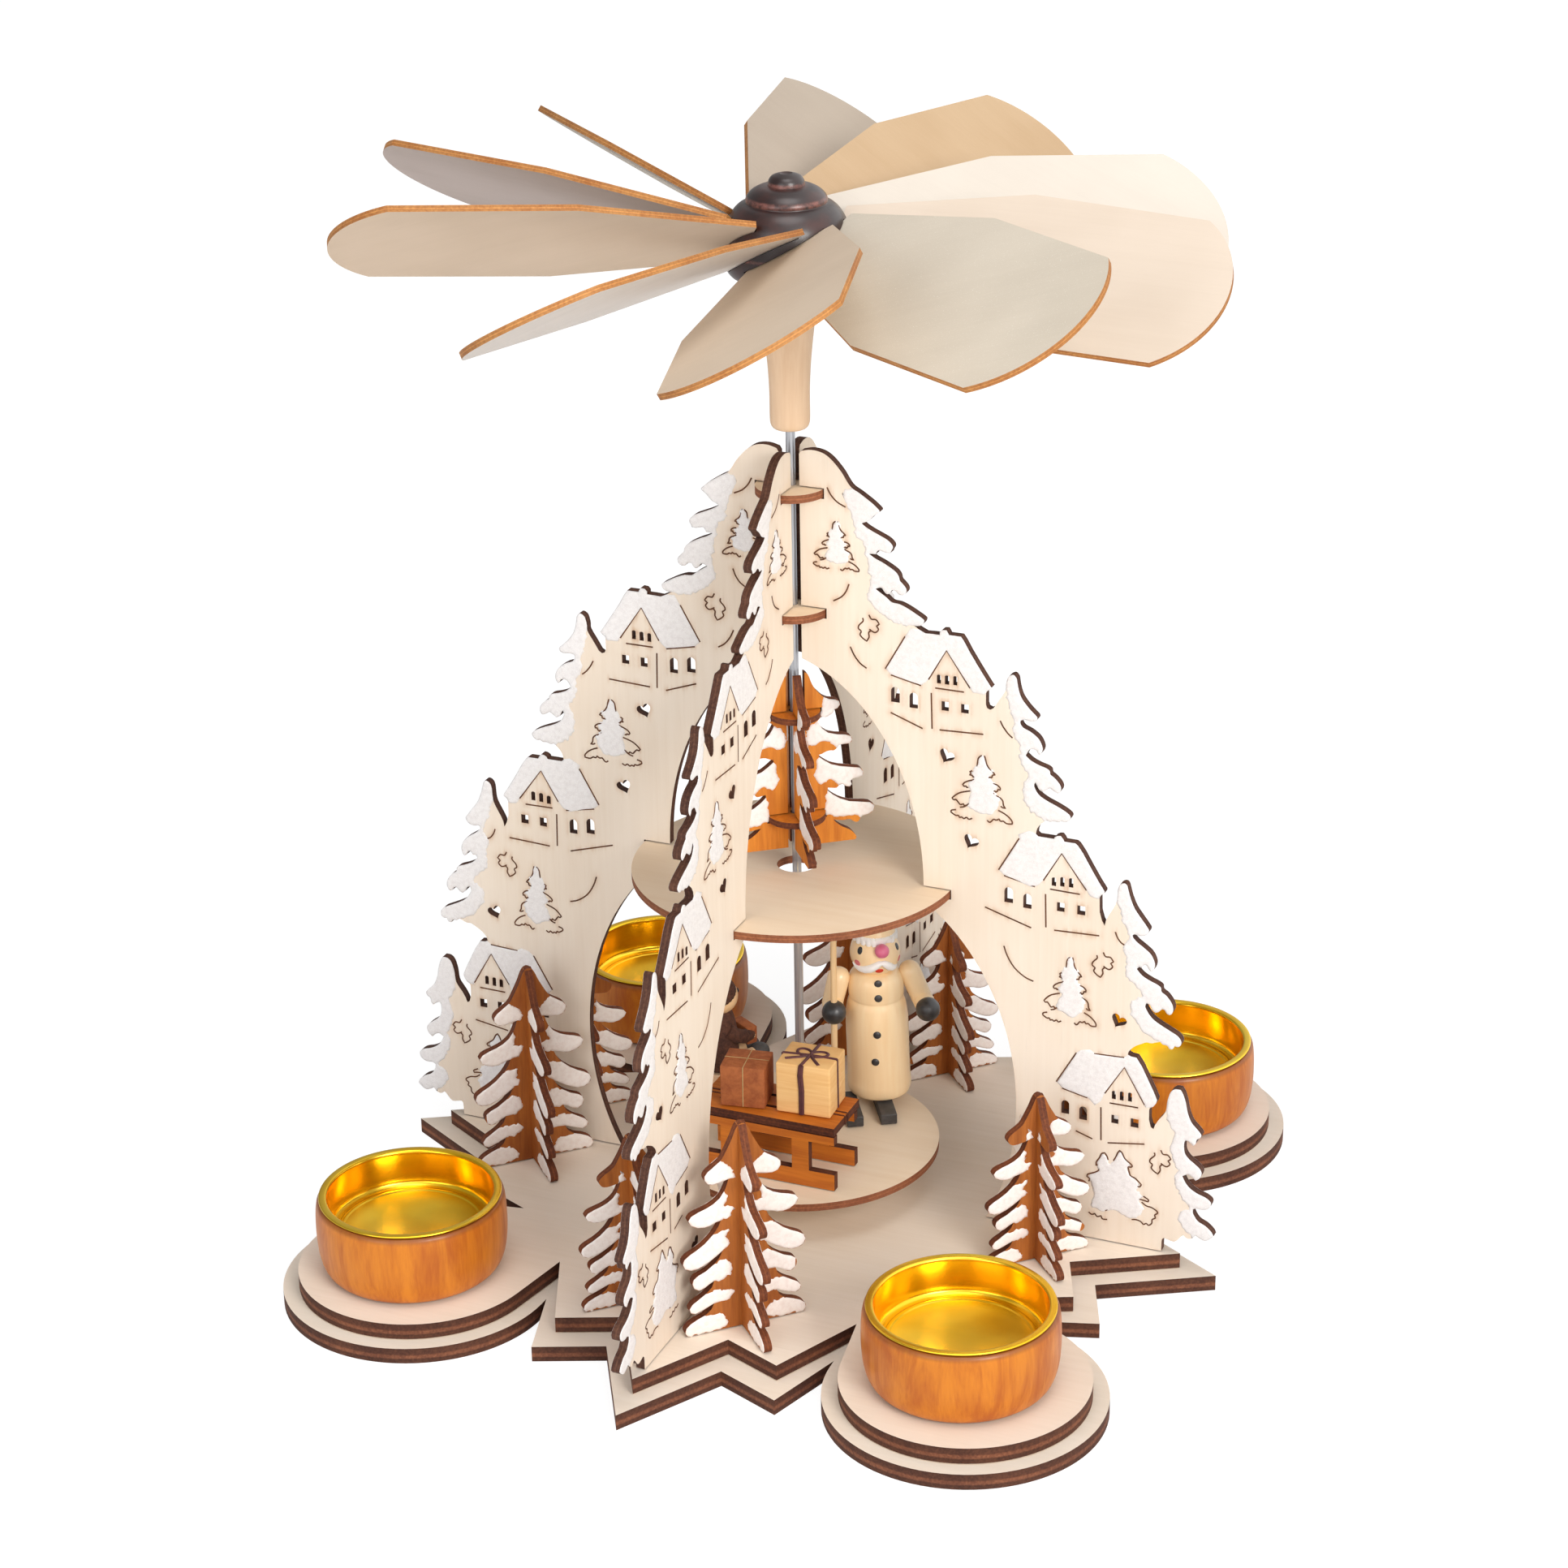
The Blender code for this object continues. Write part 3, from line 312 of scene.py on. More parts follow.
def cupFinish():
    # stained and varnished bowl, darker towards the top of the lip and towards the foot
    wood = Finish("cupAmber", {"Specular IOR Level": 0.35, "Coat Weight": 0.18, "Coat Roughness": 0.2})
    flame = wood.grain((200.0, 200.0, 42.0), 4.0, 0.6, 0.8)
    fibre = wood.grain((1500.0, 1500.0, 160.0), 2.0, 0.6)
    cloud = wood.grain((70.0, 38.0, 38.0), 2.0)
    share = wood.between(flame * 0.55 + fibre * 0.15 + cloud * 0.3, 0.36, 0.66)
    colour = wood.mixed(share, tone(212, 126, 26), tone(176, 88, 14))
    height = wood.height()
    lipAndFoot = wood.between(height, 0.0258, 0.0274) * 0.75 + wood.between(height, 0.0102, 0.0086) * 0.6
    colour = wood.mixed(lipAndFoot, colour, tone(120, 66, 30))
    return wood.surface(colour, share * 0.12 + 0.36, fibre, 0.00006, 0.3)


def brassFinish():
    brass = Finish("spunBrass", {"Metallic": 1.0})
    spin = brass.grain((120.0, 120.0, 3200.0), 2.0, 0.5)
    cloud = brass.grain(60.0, 2.0)
    colour = brass.mixed(brass.between(cloud, 0.3, 0.7), tone(246, 206, 66), tone(232, 184, 40))
    return brass.surface(colour, spin * 0.10 + 0.16, spin, 0.00002, 0.25)


def hubFinish():
    # near-black stain rubbed through to red on the rims of the turned steps
    wood = Finish("hubStain", {"Specular IOR Level": 0.45, "Coat Weight": 0.3, "Coat Roughness": 0.25})
    height = wood.height()
    fleck = wood.grain(420.0, 4.0, 0.7)
    cloud = wood.grain((110.0, 110.0, 160.0), 3.0)
    rings = [wood.between(height, low, low + 0.0006) * wood.between(height, high, high - 0.0006)
             for low, high in ((0.2614, 0.2632), (0.2650, 0.2664), (0.2500, 0.2512))]
    rub = (rings[0] + rings[1] + rings[2]) * wood.between(fleck, 0.30, 0.70)
    colour = wood.mixed(wood.between(cloud, 0.42, 0.70) * 0.7, tone(36, 19, 18), tone(70, 34, 27))
    colour = wood.mixed(rub * 0.85, colour, tone(146, 92, 82))
    return wood.surface(colour, fleck * 0.25 + 0.22, fleck, 0.00008, 0.35)


def steelFinish():
    steel = Finish("drawnSteel", {"Metallic": 0.75, "Specular IOR Level": 0.6})
    draw = steel.grain((2600.0, 2600.0, 60.0), 2.0, 0.5)
    colour = steel.mixed(steel.between(draw, 0.3, 0.7), tone(206, 208, 213), tone(176, 179, 185))
    return steel.surface(colour, draw * 0.15 + 0.28, draw, 0.00002, 0.3)


upGrain = (620.0, 620.0, 22.0)
sideGrain = (22.0, 620.0, 620.0)
wingBands = [(0.0, tone(226, 220, 220)), (0.35, tone(210, 200, 196)), (0.5, tone(255, 248, 240)),
             (0.66, tone(210, 200, 196)), (1.0, tone(226, 220, 220))]
baseBands = [(0.0, tone(176, 168, 165)), (0.26, tone(170, 160, 155)), (0.36, tone(255, 244, 232)),
             (0.50, tone(255, 240, 224)), (0.60, tone(186, 174, 168)), (1.0, tone(165, 158, 155))]
finishes = {
    "wingFace": birchFace("wingBirch", (240, 227, 211), (232, 216, 197), upGrain),
    "wingEdge": plyEdge("wingScorch", (72, 44, 36), (116, 80, 62), wingBands),
    "baseFace": birchFace("baseBirch", (240, 227, 212), (231, 216, 198), sideGrain),
    "baseEdge": plyEdge("baseScorch", (98, 60, 46), (142, 94, 70), baseBands),
    "platformFace": birchFace("platformBirch", (244, 225, 200), (235, 212, 183), (14.0, 420.0, 420.0)),
    "platformEdge": plyEdge("platformScorch", (140, 84, 56), (180, 118, 82), wingBands),
    "snow": snowFinish("snowPaint", (238, 235, 234), (228, 224, 223)),
    "firSnow": snowFinish("firSnowPaint", (249, 242, 237), (240, 229, 223), False),
    "scorchLine": plainPaint("scorchLine", (104, 66, 42), (74, 46, 32), 0.8),
    "firFace": stainedFace("firStain", (178, 104, 38), (140, 74, 24), (380.0, 380.0, 30.0)),
    "firEdge": plyEdge("firScorch", (96, 50, 30), (146, 82, 46), wingBands),
    "treeFace": stainedFace("treeStain", (222, 138, 42), (188, 104, 26), (380.0, 380.0, 30.0)),
    "bladeEdge": plyEdge("bladeScorch", (186, 122, 66), (226, 168, 100), wingBands, 0.6),
    "cup": cupFinish(),
    "brass": brassFinish(),
    "hub": hubFinish(),
    "steel": steelFinish(),
    "sleeve": stainedFace("sleeveWood", (240, 208, 174), (226, 188, 150), (260.0, 260.0, 14.0), 0.45, 0.1),
    "figure": stainedFace("figureWood", (254, 227, 184), (248, 214, 166), (200.0, 200.0, 18.0), 0.34, 0.35),
    "staff": stainedFace("staffWood", (238, 206, 160), (222, 184, 134), (500.0, 500.0, 30.0), 0.45),
    "black": plainPaint("blackPaint", (42, 41, 42), (66, 64, 64), 0.38, 0.2),
    "boot": plainPaint("bootPaint", (52, 50, 50), (84, 80, 78), 0.5),
    "pink": plainPaint("pinkPaint", (226, 112, 148), (214, 98, 134), 0.35, 0.3),
    "rose": plainPaint("rosePaint", (206, 96, 110), (222, 140, 130), 0.5),
    "red": plainPaint("redPaint", (216, 52, 28), (190, 40, 24), 0.4, 0.2),
    "white": plainPaint("whitePaint", (250, 248, 246), (238, 234, 230), 0.5),
    "sledFace": stainedFace("sledStain", (206, 118, 34), (170, 88, 22), (30.0, 380.0, 380.0), 0.5),
    "sledEdge": plyEdge("sledScorch", (74, 38, 26), (112, 62, 36), wingBands),
    "giftWood": stainedFace("giftPine", (246, 203, 140), (232, 180, 114), (30.0, 120.0, 520.0), 0.5),
    "giftBrown": stainedFace("giftBrownStain", (174, 100, 54), (134, 70, 38), (300.0, 300.0, 300.0), 0.7),
    "ribbon": plainPaint("ribbonInk", (74, 38, 44), (100, 56, 56), 0.55),
    "string": plainPaint("paleString", (190, 160, 110), (160, 128, 84), 0.7),
    "coat": stainedFace("childCoat", (92, 56, 40), (54, 32, 26), (900.0, 900.0, 900.0), 0.8),
    "skin": stainedFace("childSkin", (244, 206, 158), (236, 190, 138), (200.0, 200.0, 20.0), 0.4, 0.2),
}
print("finishes")


# ---- drawing and sheet helpers, in millimetres

sheetCrease = 38.0  # degrees: what turns more sharply than this keeps its edge


def rotation(degrees, axis="Z"):
    return Matrix.Rotation(math.radians(degrees), 4, axis)


def spot(x, y, z=0.0, turn=0.0):
    return Matrix.Translation((x * mm, y * mm, z * mm)) @ rotation(turn)


def polar(reach, degrees):
    turn = math.radians(degrees)
    return Vector((reach * math.cos(turn), reach * math.sin(turn)))


def circle(radius, sides):
    return [tuple(polar(radius, 360.0 * side / sides)) for side in range(sides)]


def smoothLine(points, steps, corner=58.0):
    # a curve through the points that keeps each corner sharper than the given turn
    points = [Vector(point) for point in points]

    def sharp(index):
        if index <= 0 or index >= len(points) - 1:
            return True
        before, after = points[index] - points[index - 1], points[index + 1] - points[index]
        return math.degrees(before.angle(after, 0.0)) > corner

    made = []
    for index in range(len(points) - 1):
        start, end = points[index], points[index + 1]
        before = start * 2.0 - end if sharp(index) else points[index - 1]
        after = end * 2.0 - start if sharp(index + 1) else points[index + 2]
        for step in range(steps):
            t = step / steps
            made.append(tuple(0.5 * (start * 2.0 + (end - before) * t
                                     + (before * 2.0 - start * 5.0 + end * 4.0 - after) * t * t
                                     + (start * 3.0 - before - end * 3.0 + after) * t ** 3)))
    made.append(tuple(points[-1]))
    return made


def evenLine(points, step):
    # the same line with points at even steps
    points = [Vector(point) for point in points]
    made = [points[0]]
    for start, end in zip(points, points[1:]):
        count = max(1, round((end - start).length / step))
        made += [start.lerp(end, (part + 1) / count) for part in range(count)]
    return made


def drift(x, y, z):
    return Vector((noise.noise((x, y, z)), noise.noise((x + 31.7, y - 12.3, z + 5.1))))


def ragged(points, step, amount, seed):
    # a brushed border: wanders off the line, more in some places than in others
    line = evenLine(smoothLine(points, 2, 180.0), step)
    made = []
    for index, point in enumerate(line):
        wander = drift(point.x * 0.9 + seed, point.y * 0.9, seed * 0.37)
        fine = drift(point.x * 2.6, point.y * 2.6 + seed, 7.0)
        hold = min(1.0, index / 2.0, (len(line) - 1 - index) / 2.0)
        shift = (wander * 1.4 + fine * 0.8) * amount * hold
        made.append((point.x + shift.x, point.y + shift.y))
    return made


def segmentDistance(points, lines):
    best = numpy.full(len(points), 1e9)
    for line in lines:
        line = numpy.asarray(line, dtype=float)
        for start, end in zip(line[:-1], line[1:]):
            reach = end - start
            share = numpy.clip(((points - start) @ reach) / max(reach @ reach, 1e-12), 0.0, 1.0)
            gap = points - start - share[:, None] * reach
            best = numpy.minimum(best, numpy.einsum("ij,ij->i", gap, gap))
    return numpy.sqrt(best)


def insideLoops(points, loops):
    inside = numpy.zeros(len(points), dtype=bool)
    x, y = points[:, 0], points[:, 1]
    for loop in loops:
        loop = numpy.asarray(loop, dtype=float)
        for (ax, ay), (bx, by) in zip(loop, numpy.roll(loop, -1, axis=0)):
            if ay != by:
                inside ^= ((ay > y) != (by > y)) & (x < (bx - ax) * (y - ay) / (by - ay) + ax)
    return inside


def fillPlan(loops, spacing=None):
    # fills a drawing with triangles, with a grid of inner points where a spacing is given
    corners, links = [], []
    for loop in loops:
        first = len(corners)
        corners += [Vector(point) for point in loop]
        links += [(first + index, first + (index + 1) % len(loop)) for index in range(len(loop))]
    if spacing:
        low = numpy.min([numpy.min(loop, axis=0) for loop in loops], axis=0)
        high = numpy.max([numpy.max(loop, axis=0) for loop in loops], axis=0)
        columns, rows = numpy.meshgrid(numpy.arange(low[0], high[0], spacing),
                                       numpy.arange(low[1], high[1], spacing * 0.866))
        columns = columns + (numpy.arange(len(rows))[:, None] % 2) * spacing / 2
        grid = numpy.column_stack([columns.ravel(), rows.ravel()])
        grid = grid[insideLoops(grid, loops)]
        if len(grid):
            closed = [[*loop, loop[0]] for loop in loops]
            grid = grid[segmentDistance(grid, closed) > spacing * 0.4]
        corners += [Vector(point) for point in grid]
    found = delaunay_2d_cdt(corners, links, [], 1, 1e-7)
    points = numpy.array([tuple(point) for point in found[0]])
    middles = numpy.array([points[list(face)].mean(axis=0) for face in found[2]])
    triangles = []
    for (a, b, c), inside in zip(found[2], insideLoops(middles, loops)):
        if inside:
            first, second = points[b] - points[a], points[c] - points[a]
            triangles.append((a, b, c) if first[0] * second[1] > first[1] * second[0] else (a, c, b))
    return points, triangles


def rimOf(triangles):
    edges = {(tri[side], tri[(side + 1) % 3]) for tri in triangles for side in range(3)}
    return sorted(edge for edge in edges if (edge[1], edge[0]) not in edges)


def sheetMesh(name, loops, thickness, spacing=None, burnAt=None):
    # a sheet cut to a drawing: material 0 on its faces, material 1 on its cut edges
    points, triangles = fillPlan(loops, spacing)
    count = len(points)
    half = thickness / 2
    verts = numpy.vstack([numpy.column_stack([points, numpy.full(count, half)]),
                          numpy.column_stack([points, numpy.full(count, -half)])])
    rim = rimOf(triangles)
    faces = [*triangles, *[(c + count, b + count, a + count) for a, b, c in triangles],
             *[(b, a, a + count, b + count) for a, b in rim]]
    mesh = bpy.data.meshes.new(name)
    mesh.from_pydata((verts * mm).tolist(), [], faces)
    indices = numpy.zeros(len(faces), dtype=numpy.int32)
    indices[len(triangles) * 2:] = 1
    mesh.polygons.foreach_set("material_index", indices)
    across = mesh.attributes.new("ply", "FLOAT", "POINT")
    across.data.foreach_set("value", numpy.repeat([1.0, 0.0], count))
    burn = mesh.attributes.new("burn", "FLOAT", "POINT")
    values = burnAt(points) if burnAt else numpy.zeros(count)
    burn.data.foreach_set("value", numpy.concatenate([values, values]))
    mesh.shade_smooth()
    mesh.set_sharp_from_angle(angle=math.radians(sheetCrease))
    return mesh


upright = rotation(90.0, "X")


def spun(profile, sides, closed=False):
    # points (radius, height) turned about Z, from the axis back to the axis unless closed
    bm = bmesh.new()
    points = [bm.verts.new((radius, 0.0, height)) for radius, height in profile]
    pairs = list(zip(points, points[1:])) + ([(points[-1], points[0])] if closed else [])
    edges = [bm.edges.new(pair) for pair in pairs]
    bmesh.ops.spin(bm, geom=points + edges, cent=(0, 0, 0), axis=(0, 0, 1), angle=math.tau,
                   steps=sides, use_merge=True)
    bmesh.ops.remove_doubles(bm, verts=bm.verts, dist=0.0005)  # of the seam and of the poles
    bmesh.ops.recalc_face_normals(bm, faces=bm.faces)
    return bm


def ball(centre, radii, sides=32):
    bm = bmesh.new()
    bmesh.ops.create_uvsphere(bm, u_segments=sides, v_segments=sides // 2, radius=1.0)
    bm.transform(Matrix.Translation(centre) @ Matrix.Diagonal((*radii, 1.0)))
    return bm


def block(size, centre, rounding):
    # a box with rounded edges
    bm = bmesh.new()
    bmesh.ops.create_cube(bm, size=1.0)
    bm.transform(Matrix.Translation(centre) @ Matrix.Diagonal((*size, 1.0)))
    bmesh.ops.bevel(bm, geom=bm.edges[:], offset=rounding, segments=3, affect="EDGES", profile=0.5)
    return bm


def tube(points, radii, sides):
    # a round bar along the points, closed at both ends
    points = [Vector(point) for point in points]
    bm = bmesh.new()
    rings = []
    frameTurn = None
    for index, point in enumerate(points):
        reach = points[min(index + 1, len(points) - 1)] - points[max(index - 1, 0)]
        if frameTurn is None:
            frameTurn = reach.to_track_quat("Z", "Y")
        else:
            frameTurn = (frameTurn @ Vector((0, 0, 1))).rotation_difference(reach) @ frameTurn
        ring = [Vector((*polar(radii[index], 360.0 * side / sides), 0.0)) for side in range(sides)]
        rings.append([bm.verts.new(point + frameTurn @ corner) for corner in ring])
    for low, high in zip(rings, rings[1:]):
        for side in range(sides):
            bm.faces.new((low[side], low[(side + 1) % sides], high[(side + 1) % sides], high[side]))
    bm.faces.new(list(reversed(rings[0])))
    bm.faces.new(rings[-1])
    bmesh.ops.recalc_face_normals(bm, faces=bm.faces)
    return bm


def merged(name, parts, smoothAngle=40.0):
    # joins (bmesh, material index) parts into one mesh in metres
    whole = bmesh.new()
    for bm, index in parts:
        for face in bm.faces:
            face.material_index = index
        part = bpy.data.meshes.new(name)
        bm.to_mesh(part)
        bm.free()
        whole.from_mesh(part)
        bpy.data.meshes.remove(part)
    mesh = bpy.data.meshes.new(name)
    whole.transform(Matrix.Scale(mm, 4))
    whole.to_mesh(mesh)
    whole.free()
    mesh.shade_smooth()
    mesh.set_sharp_from_angle(angle=math.radians(smoothAngle))
    return mesh


def joined(name, meshes):
    whole = bmesh.new()
    for mesh in meshes:
        whole.from_mesh(mesh)
    made = bpy.data.meshes.new(name)
    whole.to_mesh(made)
    whole.free()
    return made


def bakedMesh(carrier):
    # the plain mesh that an object's modifiers leave
    bpy.context.view_layer.update()
    return bpy.data.meshes.new_from_object(carrier.evaluated_get(bpy.context.evaluated_depsgraph_get()))


def addPiece(name, mesh, colours, body, nodes=(), matrix=None):
    # puts a mesh in its place and on its body; nodes are the plain solids that it stands for
    if matrix is not None:
        mesh = mesh.copy()
        mesh.transform(matrix)
    mesh.name = name
    if not mesh.materials:
        for colour in colours:
            mesh.materials.append(finishes[colour])
    piece = linked(name, mesh)
    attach(piece, body)
    if nodes:
        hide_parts(*nodes)


# ---- base plates, platform and guide rings

base = {
    "starReach": 109.5, "step": 9.2, "lobeDistance": 100.6, "lobeRadius": 33.4, "lobeStep": 3.9,
    "lobeSteps": 64, "plate": 4.0, "gap": 0.3,
    "lowerNeck": (1.003, 42.4), "upperNeck": (1.161, 24.3),  # share of the lobe's radius, degrees
    "valley": (0.775, 10.1), "side": (0.873, 19.1),          # share of the star's reach, degrees
}


def starPlate(reach, lobe, neck):
    # a quarter from point to point, with its round lobe, turned four times
    centre = polar(base["lobeDistance"], 45.0)
    neckShare, neckTurn = neck
    start = 225.0 + neckTurn + math.degrees(math.acos(1.0 / neckShare)) - 360.0
    quarter = [polar(reach, 0.0), polar(reach * base["valley"][0], base["valley"][1]),
               polar(reach * base["side"][0], base["side"][1]),
               centre + polar(lobe * neckShare, 225.0 + neckTurn)]
    steps = base["lobeSteps"]
    quarter += [centre + polar(lobe, start + (90.0 - 2.0 * start) * step / steps) for step in range(steps + 1)]
    quarter += [centre + polar(lobe * neckShare, 225.0 - neckTurn),
                polar(reach * base["side"][0], 90.0 - base["side"][1]),
                polar(reach * base["valley"][0], 90.0 - base["valley"][1])]
    turns = [Matrix.Rotation(math.radians(90.0 * turn), 2) for turn in range(4)]
    return [tuple(turn @ point) for turn in turns for point in quarter]


lower = sheetMesh("starPlateLower", [starPlate(base["starReach"], base["lobeRadius"], base["lowerNeck"])],
                  base["plate"])
addPiece("starPlateLower", lower, ("baseFace", "baseEdge"), "frame", ("base_lower_plate",),
         spot(0, 0, base["plate"] / 2))
upper = sheetMesh("starPlateUpper", [starPlate(base["starReach"] - base["step"],
                                               base["lobeRadius"] - base["lobeStep"], base["upperNeck"])],
                  base["plate"])
addPiece("starPlateUpper", upper, ("baseFace", "baseEdge"), "frame", ("base_upper_plate",),
         spot(0, 0, base["plate"] * 1.5 + base["gap"]))

discs = {  # radius, hole, thickness, top, body, node, slot
    "midPlatform": (40.4, 4.9, 2.0, 96.3, "frame", "mid_platform", "birch_plywood"),
    "upperRing": (8.5, 1.2, 2.0, 194.0, "frame", "upper_ring", "birch_plywood"),
    "lowerRing": (8.8, 1.2, 2.0, 164.2, "frame", "lower_ring", "birch_plywood"),
    "turntableDisc": (34.8, 1.4, 2.0, 20.9, "rotor", "turntable", "base_birch"),
}
for name, (radius, hole, thick, top, body, node, slot) in discs.items():
    mesh = sheetMesh(name, [circle(radius, 128), circle(hole, 40)], thick)
    addPiece(name, mesh, ("platformFace", "platformEdge"), body, (node,), spot(0, 0, top - thick / 2))
print("base, platform and rings")


# ---- the village silhouettes: outline and engraving drawn on one wing, reach and height

crown = [
    (3.1, 202.8), (5.1, 203.3), (7.0, 203.3), (8.9, 202.8), (10.6, 201.7), (12.1, 200.2), (13.5, 198.5),
    (14.7, 196.6), (15.8, 195.3), (17.6, 194.3), (19.5, 193.1), (21.1, 192.0), (22.6, 190.7), (22.7, 190.2),
    (22.1, 189.7), (21.4, 189.2), (20.1, 187.8), (19.1, 187.3), (18.2, 186.9), (19.3, 186.1), (20.9, 185.3),
    (23.0, 184.4), (24.7, 183.6), (25.8, 182.6), (26.0, 181.8), (25.7, 181.2), (25.4, 180.5), (24.5, 180.4),
    (23.4, 180.6), (22.6, 180.8), (22.1, 180.5), (21.7, 179.7), (21.1, 179.7), (20.0, 179.6), (21.5, 178.7),
    (23.4, 177.9), (25.5, 176.8), (26.8, 175.9), (27.5, 174.9), (27.7, 174.0), (28.4, 173.3), (29.2, 172.4),
    (29.4, 171.6), (29.1, 170.9), (28.4, 170.4), (27.4, 170.5), (26.7, 171.2), (25.8, 171.4), (25.1, 170.4),
    (24.4, 170.2), (23.8, 170.7), (23.2, 171.5), (22.5, 171.5), (21.6, 171.1), (23.0, 170.2), (24.4, 169.3),
    (25.7, 168.3), (27.6, 168.1), (29.7, 167.3), (31.8, 166.2), (33.5, 165.2), (33.8, 164.7), (33.5, 163.9),
    (32.8, 163.4), (31.8, 163.2), (31.2, 163.3),
]
ridgeTop = [
    [(32.4, 162.5), (34.1, 161.7), (36.0, 161.8), (37.7, 161.8)],
    [(62.2, 115.6), (62.1, 114.8), (62.7, 114.3), (64.6, 114.3), (66.6, 114.3)],
    [(86.2, 60.7), (86.9, 60.4), (88.3, 60.3)],
]
roofSide = [
    [(37.7, 161.9), (37.7, 162.5), (38.3, 163.1), (39.4, 163.2), (39.7, 162.7), (40.0, 162.1),
     (43.0, 162.1), (43.8, 161.0), (45.3, 158.4), (47.1, 155.6), (48.9, 152.9), (50.4, 150.7),
     (50.7, 150.4), (50.2, 149.8), (49.5, 149.3)],
    [(66.8, 114.8), (67.5, 115.2), (68.3, 115.3), (68.9, 114.6), (69.2, 114.0), (71.9, 114.0),
     (72.6, 113.5), (73.9, 111.7), (76.0, 108.1), (77.9, 105.0), (79.4, 102.8), (79.4, 102.3),
     (78.6, 101.7)],
    [(89.7, 58.2), (91.2, 55.2), (92.7, 52.2), (93.7, 49.9), (93.5, 49.0), (92.8, 47.9), (92.1, 47.5)],
]
wallSide = [
    [(49.3, 148.8), (49.3, 146.0), (49.6, 145.1), (50.4, 144.8)],
    [(78.2, 101.0), (78.3, 97.2), (78.9, 95.1), (79.6, 93.8)],
    [(91.8, 47.0), (91.8, 44.2), (92.3, 42.3), (93.0, 41.9)],
]
